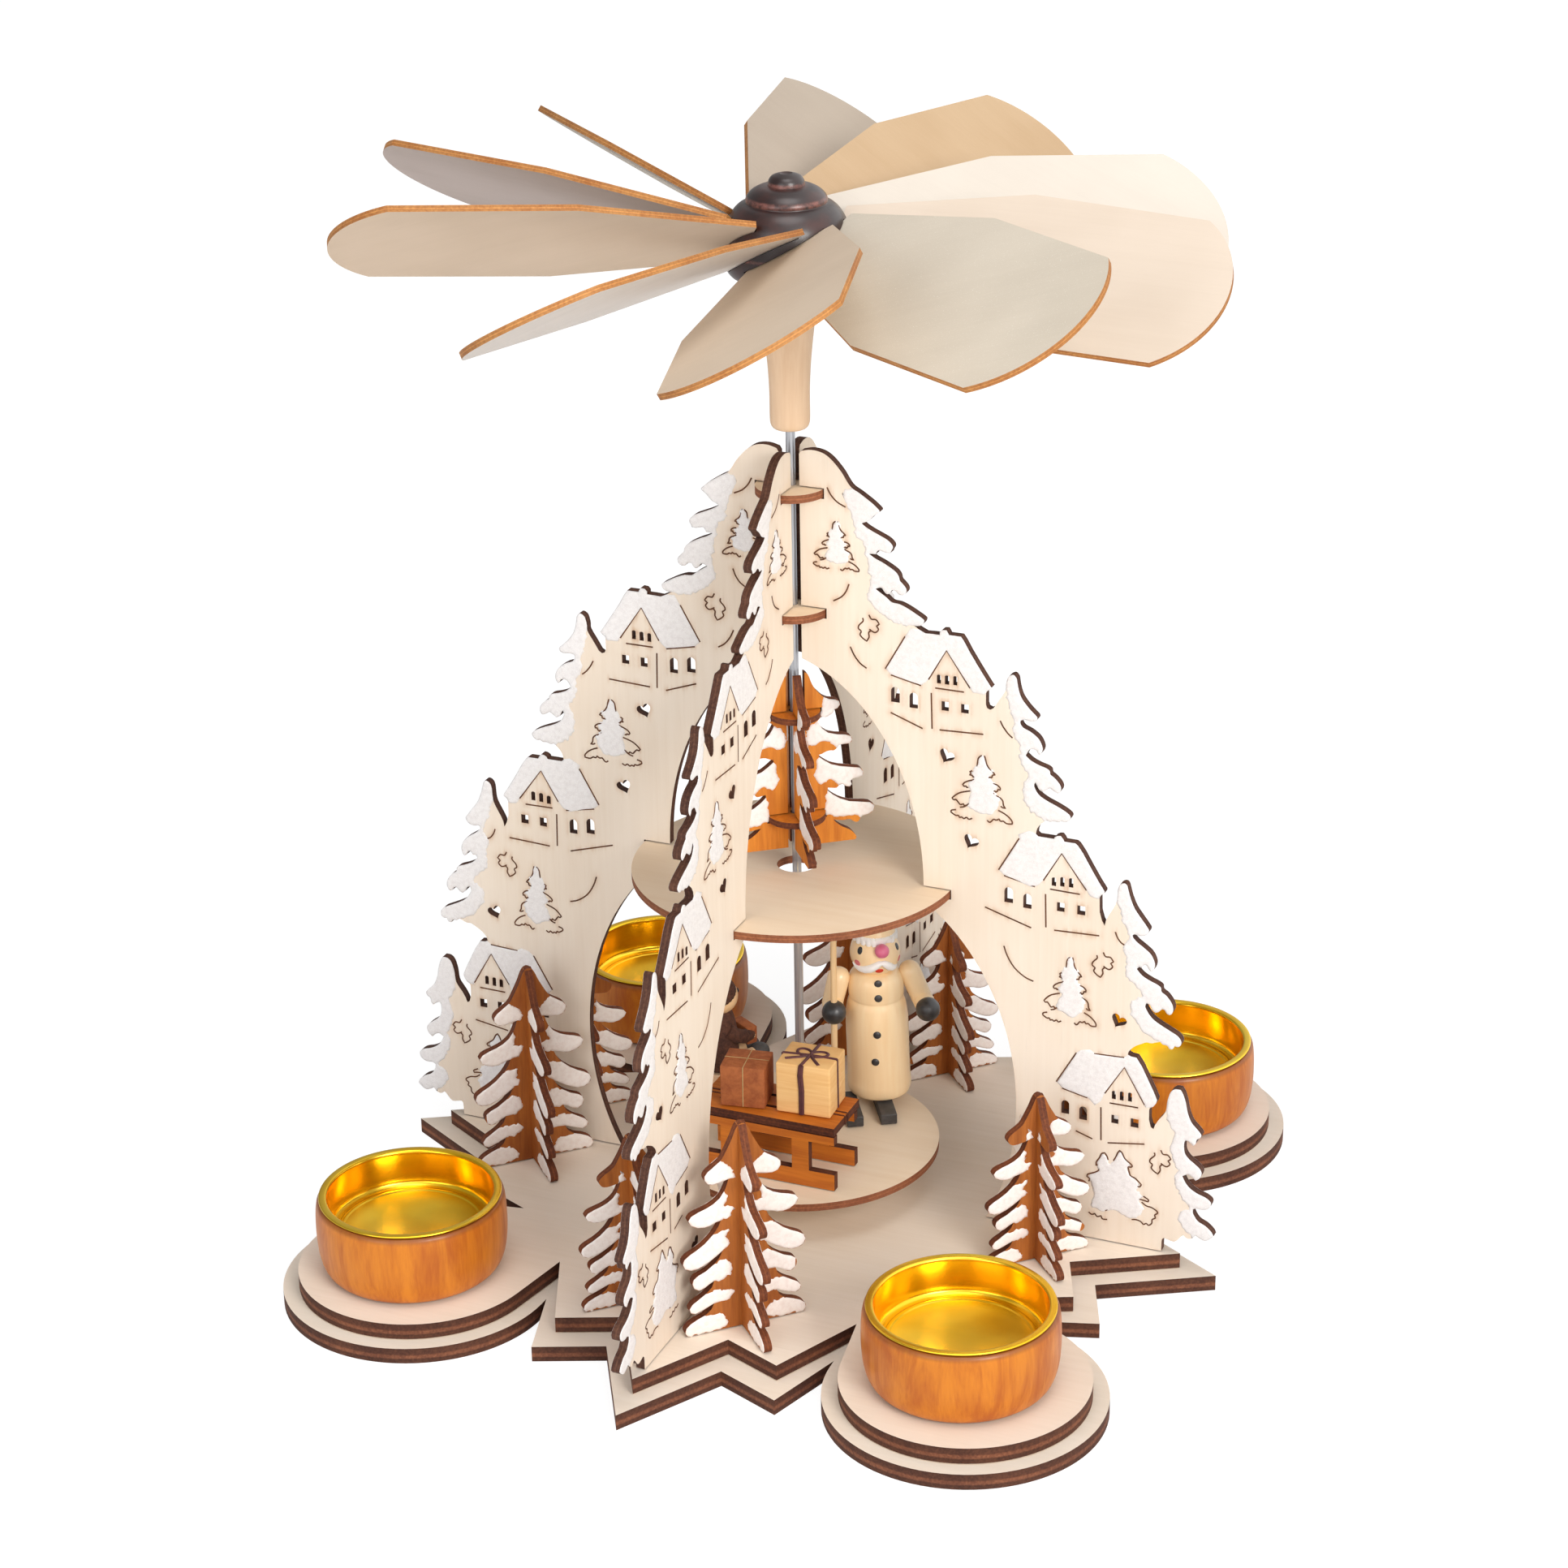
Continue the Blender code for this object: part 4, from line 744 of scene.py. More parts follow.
firSide = [
    [(51.2, 145.3), (52.6, 147.6), (53.7, 149.3), (54.2, 150.4), (54.2, 151.5), (54.4, 152.6),
     (54.8, 153.7), (55.6, 154.3), (56.3, 154.3), (56.9, 153.5), (57.1, 152.3), (57.5, 150.5),
     (58.2, 148.8), (59.5, 147.1), (60.9, 145.7), (61.9, 144.8), (62.1, 144.2), (61.7, 143.6),
     (60.8, 143.3), (59.9, 143.4), (58.8, 143.5), (58.0, 143.2), (57.9, 142.5), (58.6, 141.5),
     (60.3, 140.8), (62.1, 139.6), (63.0, 138.4), (63.5, 137.0), (63.3, 135.9), (62.8, 135.2),
     (62.4, 135.4), (61.9, 136.2), (61.1, 136.4), (60.3, 136.2), (59.8, 135.5), (59.3, 134.5),
     (60.7, 133.4), (62.6, 132.6), (64.4, 132.1), (65.3, 131.5), (65.5, 130.6), (66.4, 130.0),
     (67.7, 128.7), (68.2, 127.5), (67.9, 126.5), (67.4, 126.1), (66.4, 126.5), (65.5, 127.1),
     (64.6, 126.6), (63.7, 125.9), (62.8, 126.3), (62.2, 127.3), (61.8, 128.1), (61.5, 127.0),
     (62.6, 125.1), (64.5, 123.9), (66.7, 123.0), (68.9, 122.0), (70.3, 121.1), (70.7, 120.4),
     (70.2, 119.5), (69.3, 119.0), (68.4, 119.1), (67.6, 118.7), (66.6, 118.8), (65.6, 118.5),
     (64.7, 118.7), (64.2, 118.4), (63.1, 117.4), (62.4, 116.3)],
    [(79.9, 95.3), (80.5, 96.6), (81.8, 99.0), (82.4, 100.5), (82.6, 102.3), (82.7, 104.0), (83.2, 105.2),
     (84.2, 105.7), (84.9, 105.3), (85.3, 104.1), (85.9, 102.0), (87.0, 99.5), (88.7, 97.2), (90.0, 95.5),
     (90.6, 94.5), (90.2, 93.5), (89.4, 92.9), (88.2, 92.7), (87.1, 92.9), (86.6, 92.6), (86.7, 92.0),
     (87.8, 90.9), (89.3, 89.9), (91.0, 88.6), (91.9, 87.2), (92.3, 85.8), (92.0, 84.4), (91.5, 83.8),
     (90.9, 84.2), (90.2, 85.2), (89.6, 85.2), (89.0, 84.4), (88.4, 84.6), (87.8, 83.9), (89.1, 82.5),
     (91.2, 81.4), (92.8, 80.8), (93.9, 80.1), (94.1, 79.0), (95.4, 78.1), (96.7, 76.4), (97.1, 74.9),
     (96.8, 73.7), (96.2, 73.2), (95.5, 73.5), (95.0, 74.3), (94.3, 74.4), (93.4, 73.5), (92.6, 73.2),
     (91.8, 73.9), (91.1, 75.1), (90.4, 75.3), (90.2, 74.1), (91.8, 71.7), (93.9, 70.3), (96.5, 69.0),
     (98.4, 68.0), (99.3, 66.8), (99.2, 65.7), (98.5, 65.1), (97.7, 65.2), (97.2, 64.3), (96.4, 64.2),
     (95.8, 65.0), (94.7, 65.1), (94.1, 65.7), (93.0, 65.3), (92.0, 64.9), (90.7, 64.9), (89.5, 64.3),
     (87.8, 63.3), (86.4, 61.8), (86.1, 60.8)],
    [(93.4, 43.1), (94.3, 44.7), (95.7, 46.7), (96.1, 48.0), (96.3, 50.1), (97.0, 52.6), (98.1, 53.7),
     (99.5, 53.8), (100.2, 52.7), (100.9, 50.6), (101.5, 47.8), (102.5, 45.5), (103.9, 44.0), (105.0, 42.7),
     (104.7, 41.7), (103.9, 41.1), (103.7, 40.0), (103.1, 39.3), (102.5, 39.8), (101.7, 40.3),
     (101.1, 40.4), (100.8, 39.4), (101.0, 37.0), (102.1, 35.5), (103.6, 34.4), (105.0, 33.2),
     (105.4, 32.0), (104.9, 30.7), (103.9, 29.9), (103.4, 30.4), (102.6, 31.0), (101.8, 31.2),
     (100.6, 30.5), (101.5, 28.7), (102.9, 27.3), (104.6, 26.4), (106.5, 25.8), (107.7, 25.0),
     (108.0, 24.2), (107.6, 23.1), (106.6, 22.4), (105.5, 22.2), (104.4, 22.3), (103.5, 21.9),
     (103.6, 20.7), (104.8, 18.9), (106.8, 17.9), (108.4, 16.5), (108.9, 15.5), (108.0, 14.5),
     (106.7, 13.8), (105.2, 14.3), (104.4, 14.8), (103.5, 13.8), (102.3, 13.5), (101.3, 14.2),
     (100.6, 13.6), (99.6, 12.3), (98.7, 11.9), (97.3, 12.2), (96.4, 12.4), (95.9, 11.8), (95.8, 9.7)],
]
houseLines = [
    [(29.0, 160.2), (24.0, 151.4)], [(25.4, 150.0), (33.0, 148.4)],
    [(34.9, 150.2), (39.4, 158.1), (45.3, 149.5)], [(36.6, 148.3), (43.8, 148.3)],
    [(35.6, 146.9), (35.8, 137.8)], [(25.3, 140.4), (33.4, 137.5)], [(37.7, 137.8), (48.7, 138.3)],
    [(57.9, 113.0), (52.8, 104.0)], [(54.2, 102.7), (62.0, 101.1)],
    [(64.1, 103.1), (68.6, 110.8), (74.9, 102.3)], [(65.8, 101.1), (73.3, 101.0)],
    [(64.7, 99.6), (64.9, 90.9)], [(49.4, 93.6), (61.2, 90.1)], [(67.0, 90.5), (78.3, 91.0)],
    [(73.1, 58.8), (68.1, 50.0)], [(77.6, 59.4), (85.2, 59.8)], [(69.6, 48.5), (76.1, 47.1)],
    [(80.5, 49.2), (85.3, 57.1), (90.6, 48.0)], [(81.8, 46.8), (89.0, 46.9)], [(79.6, 45.2), (79.8, 36.2)],
    [(73.3, 37.5), (77.6, 36.1)], [(81.5, 35.8), (90.8, 37.3)],
]
snowArcs = [
    [(9.6, 194.7), (10.5, 193.0), (12.1, 191.4), (14.2, 190.4)],
    [(14.9, 171.4), (14.2, 169.6), (13.0, 168.0), (10.9, 166.7)],
    [(15.1, 155.7), (16.0, 153.8), (17.5, 151.9), (19.2, 150.8)],
    [(52.9, 142.4), (53.7, 140.9), (54.9, 139.4), (56.0, 138.5)],
    [(54.3, 84.1), (55.2, 81.6), (57.0, 78.8), (59.6, 76.8), (61.9, 76.0)],
    [(82.3, 92.7), (82.8, 91.4), (83.7, 90.2), (84.6, 89.7)],
]
treeLines = [
    [(47.2, 129.7), (47.3, 130.8), (47.5, 132.0), (48.0, 132.6), (48.4, 132.8)],
    [(49.0, 132.9), (49.3, 132.0), (49.6, 130.8), (50.4, 129.6), (51.3, 128.9), (51.7, 128.4),
     (51.1, 128.2), (50.9, 127.6), (50.4, 127.6), (50.0, 127.3), (49.5, 127.6)],
    [(46.0, 128.6), (45.4, 128.3), (45.6, 127.8), (45.3, 127.4), (46.0, 127.4), (46.1, 127.1),
     (46.6, 127.1)],
    [(47.0, 127.0), (46.3, 126.3), (45.2, 125.9), (44.1, 125.3), (43.6, 124.7), (43.9, 124.3),
     (44.4, 124.4), (44.6, 124.1), (45.0, 124.2)],
    [(51.2, 126.1), (52.2, 125.9), (53.0, 125.3), (53.0, 124.7), (52.5, 124.8), (52.3, 124.3),
     (51.9, 124.0), (51.6, 124.3), (51.1, 124.2), (50.9, 124.6), (50.2, 124.4)],
    [(45.5, 123.3), (44.1, 122.9), (42.8, 122.4), (41.7, 121.6), (40.9, 120.8), (41.3, 120.4),
     (41.9, 120.5), (42.5, 119.9), (43.0, 119.4), (43.8, 119.7), (44.0, 119.3), (44.7, 119.5),
     (45.4, 120.1), (44.9, 119.7), (44.0, 119.0), (42.9, 118.7)],
    [(51.3, 123.7), (51.8, 123.2), (53.0, 122.7), (53.7, 122.0), (53.9, 120.9), (54.4, 120.2),
     (53.6, 120.3), (53.2, 120.6)],
    [(41.9, 117.9), (40.8, 117.6), (40.6, 117.1), (41.2, 116.7), (41.9, 116.4), (42.5, 116.5),
     (42.8, 116.0), (43.4, 116.2), (43.9, 115.9), (44.6, 116.3), (45.2, 115.9), (46.0, 116.3)],
    [(52.6, 119.4), (53.9, 118.9), (55.2, 118.1), (56.1, 117.1), (56.1, 116.4), (55.2, 116.3),
     (54.5, 116.4), (53.9, 116.8), (53.2, 116.7), (52.8, 117.2), (52.1, 116.8), (51.4, 116.9),
     (50.8, 116.2), (50.3, 116.0), (49.8, 116.4)],
]
treeSnow = [
    (48.4, 133.0), (49.2, 132.5), (49.8, 130.4), (51.4, 129.0), (50.3, 127.5), (51.3, 126.5), (52.5, 125.6),
    (51.3, 123.9), (52.9, 122.7), (52.7, 120.4), (51.4, 118.8), (49.9, 117.9), (47.7, 118.0), (45.4, 118.8),
    (44.4, 120.1), (45.7, 122.8), (44.9, 124.7), (46.2, 126.7), (45.7, 128.2), (47.2, 130.4), (47.6, 132.3),
]
treePlaces = [((48.4, 132.9), 1.0, 1.0), ((71.2, 84.1), 0.871, 1.05), ((11.7, 186.6), 0.742, 0.71)]
leafLines = [
    [(77.8, 85.8), (77.9, 85.0), (76.9, 83.9), (76.7, 83.0), (77.4, 82.4), (77.1, 81.5), (77.8, 80.7),
     (78.8, 80.1), (79.4, 81.2), (79.3, 82.3), (79.9, 82.9)],
    [(79.4, 86.8), (80.0, 85.8), (81.2, 85.8), (82.0, 84.8), (81.3, 84.2), (81.8, 83.4), (81.1, 82.6),
     (80.3, 82.7), (79.5, 83.2)],
]
leafPlaces = [(78.6, 86.3), (19.1, 163.9), (94.2, 36.0)]
pairLines = [
    [(78.7, 28.9), (78.7, 29.9), (79.5, 31.3), (80.0, 32.5), (80.8, 32.9), (81.4, 32.1), (81.7, 31.1)],
    [(78.7, 29.5), (79.5, 28.4), (79.1, 27.5), (78.0, 26.8), (76.6, 26.1), (76.4, 25.4), (77.2, 25.0),
     (76.9, 24.2)],
    [(83.1, 31.2), (83.7, 32.4), (84.1, 33.5), (84.6, 34.3), (85.2, 33.8), (85.7, 32.8), (86.2, 32.1),
     (87.8, 30.9), (87.6, 30.3), (86.8, 30.3), (87.1, 29.1), (87.5, 27.9), (88.8, 27.4), (90.3, 26.0),
     (89.9, 25.3), (88.9, 25.5)],
    [(81.7, 24.2), (82.7, 23.6), (82.7, 22.7), (82.0, 22.3), (81.0, 21.7), (80.0, 20.9), (80.1, 20.0),
     (80.8, 19.6), (81.6, 20.2), (81.2, 19.0), (82.6, 19.1), (81.3, 18.2), (82.4, 17.8), (81.3, 16.9)],
    [(90.9, 22.9), (92.2, 22.2), (92.1, 21.6), (91.1, 21.8), (89.9, 21.9)],
    [(90.5, 21.2), (91.7, 20.4), (93.1, 20.2), (94.4, 19.5), (94.6, 18.9), (93.9, 18.3), (94.1, 17.5),
     (93.3, 16.9), (93.2, 15.8), (92.4, 15.1), (91.8, 15.5), (91.1, 15.1), (90.3, 15.8), (89.1, 16.0),
     (88.1, 15.8)],
    [(77.0, 15.6), (77.8, 15.1), (78.6, 15.5), (79.2, 14.8), (80.2, 15.2), (80.6, 14.4), (81.8, 14.5)],
    [(82.6, 27.3), (82.8, 28.4), (83.3, 29.0)],
]
pairSnow = [
    (80.4, 32.7), (81.5, 31.7), (81.8, 30.1), (83.1, 31.0), (84.6, 34.1), (86.0, 32.0), (87.6, 30.7),
    (86.7, 29.4), (87.7, 27.8), (90.0, 25.9), (88.9, 24.4), (90.9, 22.7), (89.8, 21.2), (91.3, 19.4),
    (89.1, 16.4), (86.4, 16.3), (83.6, 17.4), (80.9, 16.4), (78.9, 16.8), (77.4, 17.8), (78.1, 20.9),
    (77.2, 24.1), (76.8, 25.7), (79.1, 27.3), (78.9, 29.5),
]
branchSnow = [
    [(15.8, 195.3), (13.6, 194.4), (13.5, 192.8), (15.0, 190.1), (16.3, 187.0), (16.2, 184.5),
     (18.2, 182.2), (19.2, 179.1), (19.7, 175.0), (20.4, 172.1), (19.3, 169.5), (20.6, 167.1),
     (23.3, 165.0), (26.3, 163.3), (28.8, 162.9), (31.2, 163.3)],
    [(54.2, 150.4), (54.4, 148.8), (55.0, 146.8), (55.5, 144.7), (56.3, 143.1), (56.1, 140.7),
     (56.6, 138.2), (58.0, 136.2), (57.6, 134.3), (58.3, 132.1), (60.0, 129.8), (59.0, 127.4),
     (58.6, 125.1), (59.4, 122.4), (60.9, 120.3), (62.7, 119.3), (64.2, 118.4)],
    [(82.4, 100.5), (83.2, 98.9), (83.8, 96.4), (85.1, 93.7), (85.7, 91.4), (84.1, 88.9), (84.9, 86.4),
     (84.8, 84.0), (85.2, 81.4), (87.5, 79.1), (89.2, 77.0), (86.8, 75.2), (86.3, 72.7), (87.3, 70.2),
     (89.4, 67.9), (92.0, 66.2), (94.1, 65.7)],
    [(96.1, 48.0), (96.5, 44.8), (98.1, 42.1), (97.8, 39.2), (97.4, 36.6), (98.4, 33.8), (99.6, 31.7),
     (98.8, 30.3), (98.9, 28.1), (99.7, 25.8), (101.7, 23.3), (102.8, 21.8), (100.3, 20.7), (100.1, 18.3),
     (101.2, 16.4), (102.7, 14.9), (103.5, 13.8)],
]
roofSnow = [
    ([(25.4, 150.0), (24.0, 151.4), (29.0, 160.2), (30.4, 162.6), (32.4, 162.5)],
     [(49.0, 148.3), (47.5, 148.4), (46.0, 148.5), (45.3, 149.5), (39.4, 158.1), (34.9, 150.2),
      (34.3, 149.5), (33.0, 148.4)]),
    ([(54.2, 102.7), (52.8, 104.0), (57.9, 113.0), (57.6, 114.0), (60.4, 115.4), (62.1, 114.9)],
     [(78.0, 100.6), (76.1, 100.7), (74.9, 102.3), (68.6, 110.8), (64.1, 103.1), (62.9, 101.6),
      (61.2, 100.8)]),
    ([(69.6, 48.5), (68.1, 50.0), (73.1, 58.8), (74.3, 59.8), (76.6, 60.3), (77.8, 59.5), (85.2, 59.9)],
     [(91.1, 47.4), (90.6, 48.0), (85.3, 57.1), (80.5, 49.2), (79.5, 46.8), (78.0, 45.4), (76.4, 47.0)]),
]
windowPlaces = [
    [(37.0, 151.8, 38.0, 149.6), (39.0, 151.9, 40.1, 149.6), (41.1, 152.0, 42.1, 149.7),
     (38.2, 145.2, 40.0, 142.9), (43.1, 145.2, 45.0, 143.0), (25.4, 147.1, 27.6, 143.2),
     (30.1, 146.3, 32.2, 142.4)],
    [(66.2, 104.3, 67.3, 102.1), (68.3, 104.7, 69.4, 102.3), (70.5, 104.8, 71.6, 102.4),
     (67.6, 98.0, 69.5, 95.7), (72.7, 98.0, 74.7, 95.7), (54.3, 99.8, 56.5, 95.8), (59.1, 98.9, 61.2, 95.1)],
    [(82.3, 50.3, 83.3, 48.1), (84.3, 50.5, 85.3, 48.1), (86.4, 50.6, 87.4, 48.2), (82.3, 43.7, 84.1, 41.5),
     (87.2, 43.7, 89.2, 41.4), (69.5, 45.3, 71.5, 41.7), (74.1, 44.5, 76.1, 40.9)],
]
heartPlaces = [(39.5, 131.4), (45.7, 110.2), (83.6, 69.4), (66.6, 26.2)]
wing = {
    "thickness": 2.2, "inner": 2.6, "foot": 95.8, "grid": 1.0,
    "lowerArch": (12.8, 41.05, 45.0, 58.07),  # centre, then half width and height
    "upperArch": (-7.0, 40.6, 54.4),          # centre, half width, rise
    "archSteps": 40,
    "notches": ((94.0, 96.6, 40.7), (161.9, 164.5, 9.1), (191.7, 194.3, 8.8)),  # low, high, reach
    "heart": 1.95, "heartTurn": -24.0, "lineWidth": 0.42, "lineProud": 0.10, "paint": 0.20, "paintGrid": 0.5,
    "lineBurn": (0.95, 1.1), "edgeBurn": (0.45, 0.7),  # how dark, and how far it fades
}


def archLine(low, high):
    x, z, halfWidth, halfHeight = wing["lowerArch"]
    steps = wing["archSteps"]
    line = []
    for step in range(steps + 1):
        height = low + (high - low) * step / steps
        share = 1.0 - ((height - z) / halfHeight) ** 2
        line.append((x + halfWidth * math.sqrt(max(0.0, share)), height))
    return line


def wingOutline():
    (low, high, reach), ringLow, ringHigh = wing["notches"]
    line = archLine(baseSeat, low) + [(reach, low), (reach, high)]
    centre, half, rise = wing["upperArch"]
    sweep, steps = math.acos((wing["inner"] - centre) / half), wing["archSteps"]
    for step in range(steps + 1):
        turn = sweep * step / steps
        line.append((centre + half * math.cos(turn), high + rise * math.sin(turn) / math.sin(sweep)))
    for low, high, reach in (ringLow, ringHigh):
        line += [(wing["inner"], low), (reach, low), (reach, high), (wing["inner"], high)]
    line += [(wing["inner"], 202.0), *smoothLine(crown, 3)]
    for ridge, roof, wall, fir in zip(ridgeTop, roofSide, wallSide, firSide):
        line += [*ridge, *roof, *wall, *smoothLine(fir, 3)]
    return line + [(wing["foot"], baseSeat)]


def heart(centre, half):
    # a small heart lying on its side, as the cutter left it
    turn, steps = math.radians(wing["heartTurn"]), 28
    made = []
    for step in range(steps):
        t = math.tau * step / steps
        x = math.sin(t) ** 3
        y = (13 * math.cos(t) - 5 * math.cos(2 * t) - 2 * math.cos(3 * t) - math.cos(4 * t)) / 16.0
        made.append((centre[0] + half * (x * math.cos(turn) - y * math.sin(turn)),
                     centre[1] + half * (x * math.sin(turn) + y * math.cos(turn))))
    return made


def windowHole(index, left, top, right, bottom):
    # of each house's seven windows, 3 and 4 are square, 5 and 6 round arched, the first three flatter
    if 3 <= index <= 4:
        return [(left, bottom), (right, bottom), (right, top), (left, top)]
    middle, half = (left + right) / 2, (right - left) / 2
    rise = half * (1.0 if index > 4 else 0.7)
    arch = [(middle + half * math.cos(math.pi * step / 8), top - rise + rise * math.sin(math.pi * step / 8))
            for step in range(9)]
    return [(left, bottom), (right, bottom), *arch]


def moved(line, start, end, scaleX=1.0, scaleZ=1.0):
    # a drawing carried from its own place to another
    return [(end[0] + (x - start[0]) * scaleX, end[1] + (z - start[1]) * scaleZ) for x, z in line]


def wingStrokes():
    strokes = [*houseLines, *[smoothLine(arc, 3) for arc in snowArcs]]
    leafy = []
    for place, scaleX, scaleZ in treePlaces:
        leafy += [moved(line, treePlaces[0][0], place, scaleX, scaleZ) for line in treeLines]
    for place in leafPlaces:
        leafy += [moved(line, leafPlaces[0], place) for line in leafLines]
    return strokes + [smoothLine(line, 3, 75.0) for line in [*leafy, *pairLines]]


def nearest(line, point):
    gaps = [(x - point[0]) ** 2 + (z - point[1]) ** 2 for x, z in line]
    return gaps.index(min(gaps))


def wingSnow():
    # the outline of every painted patch; ragged takes a step, how far it wanders and a seed
    patches = []
    for seed, (line, border) in enumerate(zip([crown, *firSide], branchSnow)):
        curve = smoothLine(line, 3)
        outer = curve[nearest(curve, border[0]):nearest(curve, border[-1]) + 1]
        patches.append([*outer, *reversed(ragged(border, 0.45, 0.42, seed * 5.1)[1:-1])])
    for seed, ((left, inside), ridge, roof) in enumerate(zip(roofSnow, ridgeTop, roofSide)):
        lowEdge = ragged(inside[:3], 0.5, 0.12, seed * 3.3)
        patches.append([*left, *ridge, *roof, *lowEdge, *inside[3:]])
    for seed, (place, scaleX, scaleZ) in enumerate(treePlaces):
        fill = moved(treeSnow, treePlaces[0][0], place, scaleX, scaleZ)
        patches.append(ragged([*fill, fill[0]], 0.45, 0.38, seed * 2.7 + 1.0)[:-1])
    patches.append(ragged([*pairSnow, pairSnow[0]], 0.45, 0.28, 9.3)[:-1])
    return patches


knotReach = 60  # points along a border within which it may cross itself


def untangled(outline):
    # cuts off the small knots where a ragged border crosses itself, once from each half of it
    line = [Vector(point) for point in outline]
    for half in range(2):
        index = 0
        while index < len(line) - 3:
            for other in range(index + 2, min(index + knotReach, len(line) - 1)):
                hit = intersect_line_line_2d(*line[index:index + 2], *line[other:other + 2])
                if hit:
                    line[index + 1:other + 1] = [hit]
                    break
            index += 1
        line = line[len(line) // 2:] + line[:len(line) // 2]
    apart = [point for point, before in zip(line, [line[-1], *line]) if (point - before).length > 0.02]
    return [tuple(point) for point in apart]


def paintMesh(name, patches, rise, spacing, face, seed=0.0):
    # thick paint on both faces of a sheet: lumpy on top, thin at its border
    verts, faces = [], []
    for number, patch in enumerate(patches):
        points, triangles = fillPlan([untangled(patch)], spacing)
        rim = rimOf(triangles)
        depth = segmentDistance(points, [[points[a], points[b]] for a, b in rim])
        lump = numpy.array([noise.noise((x * 0.55 + seed, z * 0.55, number * 1.7)) * 0.35
                            + noise.noise((x * 1.5, z * 1.5 + seed, 4.0)) * 0.22 for x, z in points])
        height = rise * (1.0 - numpy.exp(-depth / 0.32)) * (0.85 + lump)
        for side in (1.0, -1.0):
            first, count = len(verts), len(points)
            verts += [(x, side * (face + h), z) for (x, z), h in zip(points.tolist(), height.tolist())]
            verts += [(x, side * (face - 0.05), z) for x, z in points.tolist()]
            top = [tuple(first + corner for corner in triangle) for triangle in triangles]
            under = [tuple(corner + count for corner in reversed(triangle)) for triangle in top]
            walls = [(first + b, first + a, first + a + count, first + b + count) for a, b in rim]
            made = [*top, *under, *walls]
            faces += [tuple(reversed(corners)) for corners in made] if side > 0 else made
    mesh = bpy.data.meshes.new(name)
    mesh.from_pydata([(x * mm, y * mm, z * mm) for x, y, z in verts], [], faces)
    mesh.shade_smooth()
    return mesh


def engravingTree():
    # Geometry Nodes: every drawn stroke becomes a thin burnt line lying on the face
    tree = bpy.data.node_groups.new("engravedStrokes", "GeometryNodeTree")
    sockets = {}
    tree.interface.new_socket("Geometry", in_out="INPUT", socket_type="NodeSocketGeometry")
    for name, kind in (("Line Width", "NodeSocketFloat"), ("Proud Share", "NodeSocketFloat"),
                       ("Sides", "NodeSocketInt"), ("Colour", "NodeSocketMaterial")):
        sockets[name] = tree.interface.new_socket(name, in_out="INPUT", socket_type=kind).identifier
    tree.interface.new_socket("Geometry", in_out="OUTPUT", socket_type="NodeSocketGeometry")
    nodes, link = tree.nodes, tree.links.new
    given, result = nodes.new("NodeGroupInput"), nodes.new("NodeGroupOutput")
    curve = nodes.new("GeometryNodeMeshToCurve")
    half = nodes.new("ShaderNodeMath")
    half.operation = "MULTIPLY"
    half.inputs[1].default_value = 0.5
    ring = nodes.new("GeometryNodeCurvePrimitiveCircle")
    sweep = nodes.new("GeometryNodeCurveToMesh")
    sweep.inputs["Fill Caps"].default_value = True
    squash = nodes.new("ShaderNodeCombineXYZ")
    squash.inputs["X"].default_value = 1.0
    squash.inputs["Z"].default_value = 1.0
    flatten = nodes.new("GeometryNodeTransform")
    real = nodes.new("GeometryNodeRealizeInstances")
    colour = nodes.new("GeometryNodeSetMaterial")
    link(given.outputs["Geometry"], curve.inputs["Mesh"])
    link(given.outputs["Line Width"], half.inputs[0])
    link(half.outputs[0], ring.inputs["Radius"])
    link(given.outputs["Sides"], ring.inputs["Resolution"])
    link(curve.outputs["Curve"], sweep.inputs["Curve"])
    link(ring.outputs["Curve"], sweep.inputs["Profile Curve"])
    link(given.outputs["Proud Share"], squash.inputs["Y"])
    link(sweep.outputs["Mesh"], flatten.inputs["Geometry"])
    link(squash.outputs["Vector"], flatten.inputs["Scale"])
    link(flatten.outputs["Geometry"], real.inputs["Geometry"])
    link(real.outputs["Geometry"], colour.inputs["Geometry"])
    link(given.outputs["Colour"], colour.inputs["Material"])
    link(colour.outputs["Geometry"], result.inputs["Geometry"])
    return tree, sockets


def drawnLines(name, strokes, width, proud, colour, sides=6):
    # strokes are lists of (x, y, z) in millimetres
    tree, sockets = engravingNodes
    verts, edges = [], []
    for stroke in strokes:
        first = len(verts)
        verts += [(x * mm, y * mm, z * mm) for x, y, z in stroke]
        edges += [(first + index, first + index + 1) for index in range(len(stroke) - 1)]
    guide = bpy.data.meshes.new(name)
    guide.from_pydata(verts, edges, [])
    carrier = linked(name, guide)
    lines = carrier.modifiers.new("engravedStrokes", "NODES")
    lines.node_group = tree
    for socket, value in (("Line Width", width * mm), ("Proud Share", proud), ("Sides", sides),
                          ("Colour", finishes[colour])):
        lines[sockets[socket]] = value
    made = bakedMesh(carrier)
    carrier.modifiers.remove(lines)
    bpy.data.objects.remove(carrier, do_unlink=True)
    return made


engravingNodes = engravingTree()
outline = wingOutline()
holes = [windowHole(index, *window) for house in windowPlaces for index, window in enumerate(house)]
holes += [heart(place, wing["heart"]) for place in heartPlaces]
strokes = wingStrokes()


def wingBurn(points):
    # the brown haze beside the strokes, the windows and the cut edge
    near = segmentDistance(points, [*strokes, *[[*hole, hole[0]] for hole in holes]])
    edge = segmentDistance(points, [[*outline, outline[0]]])
    (lineDark, lineFade), (edgeDark, edgeFade) = wing["lineBurn"], wing["edgeBurn"]
    return numpy.exp(-near / lineFade) * lineDark + numpy.exp(-edge / edgeFade) * edgeDark


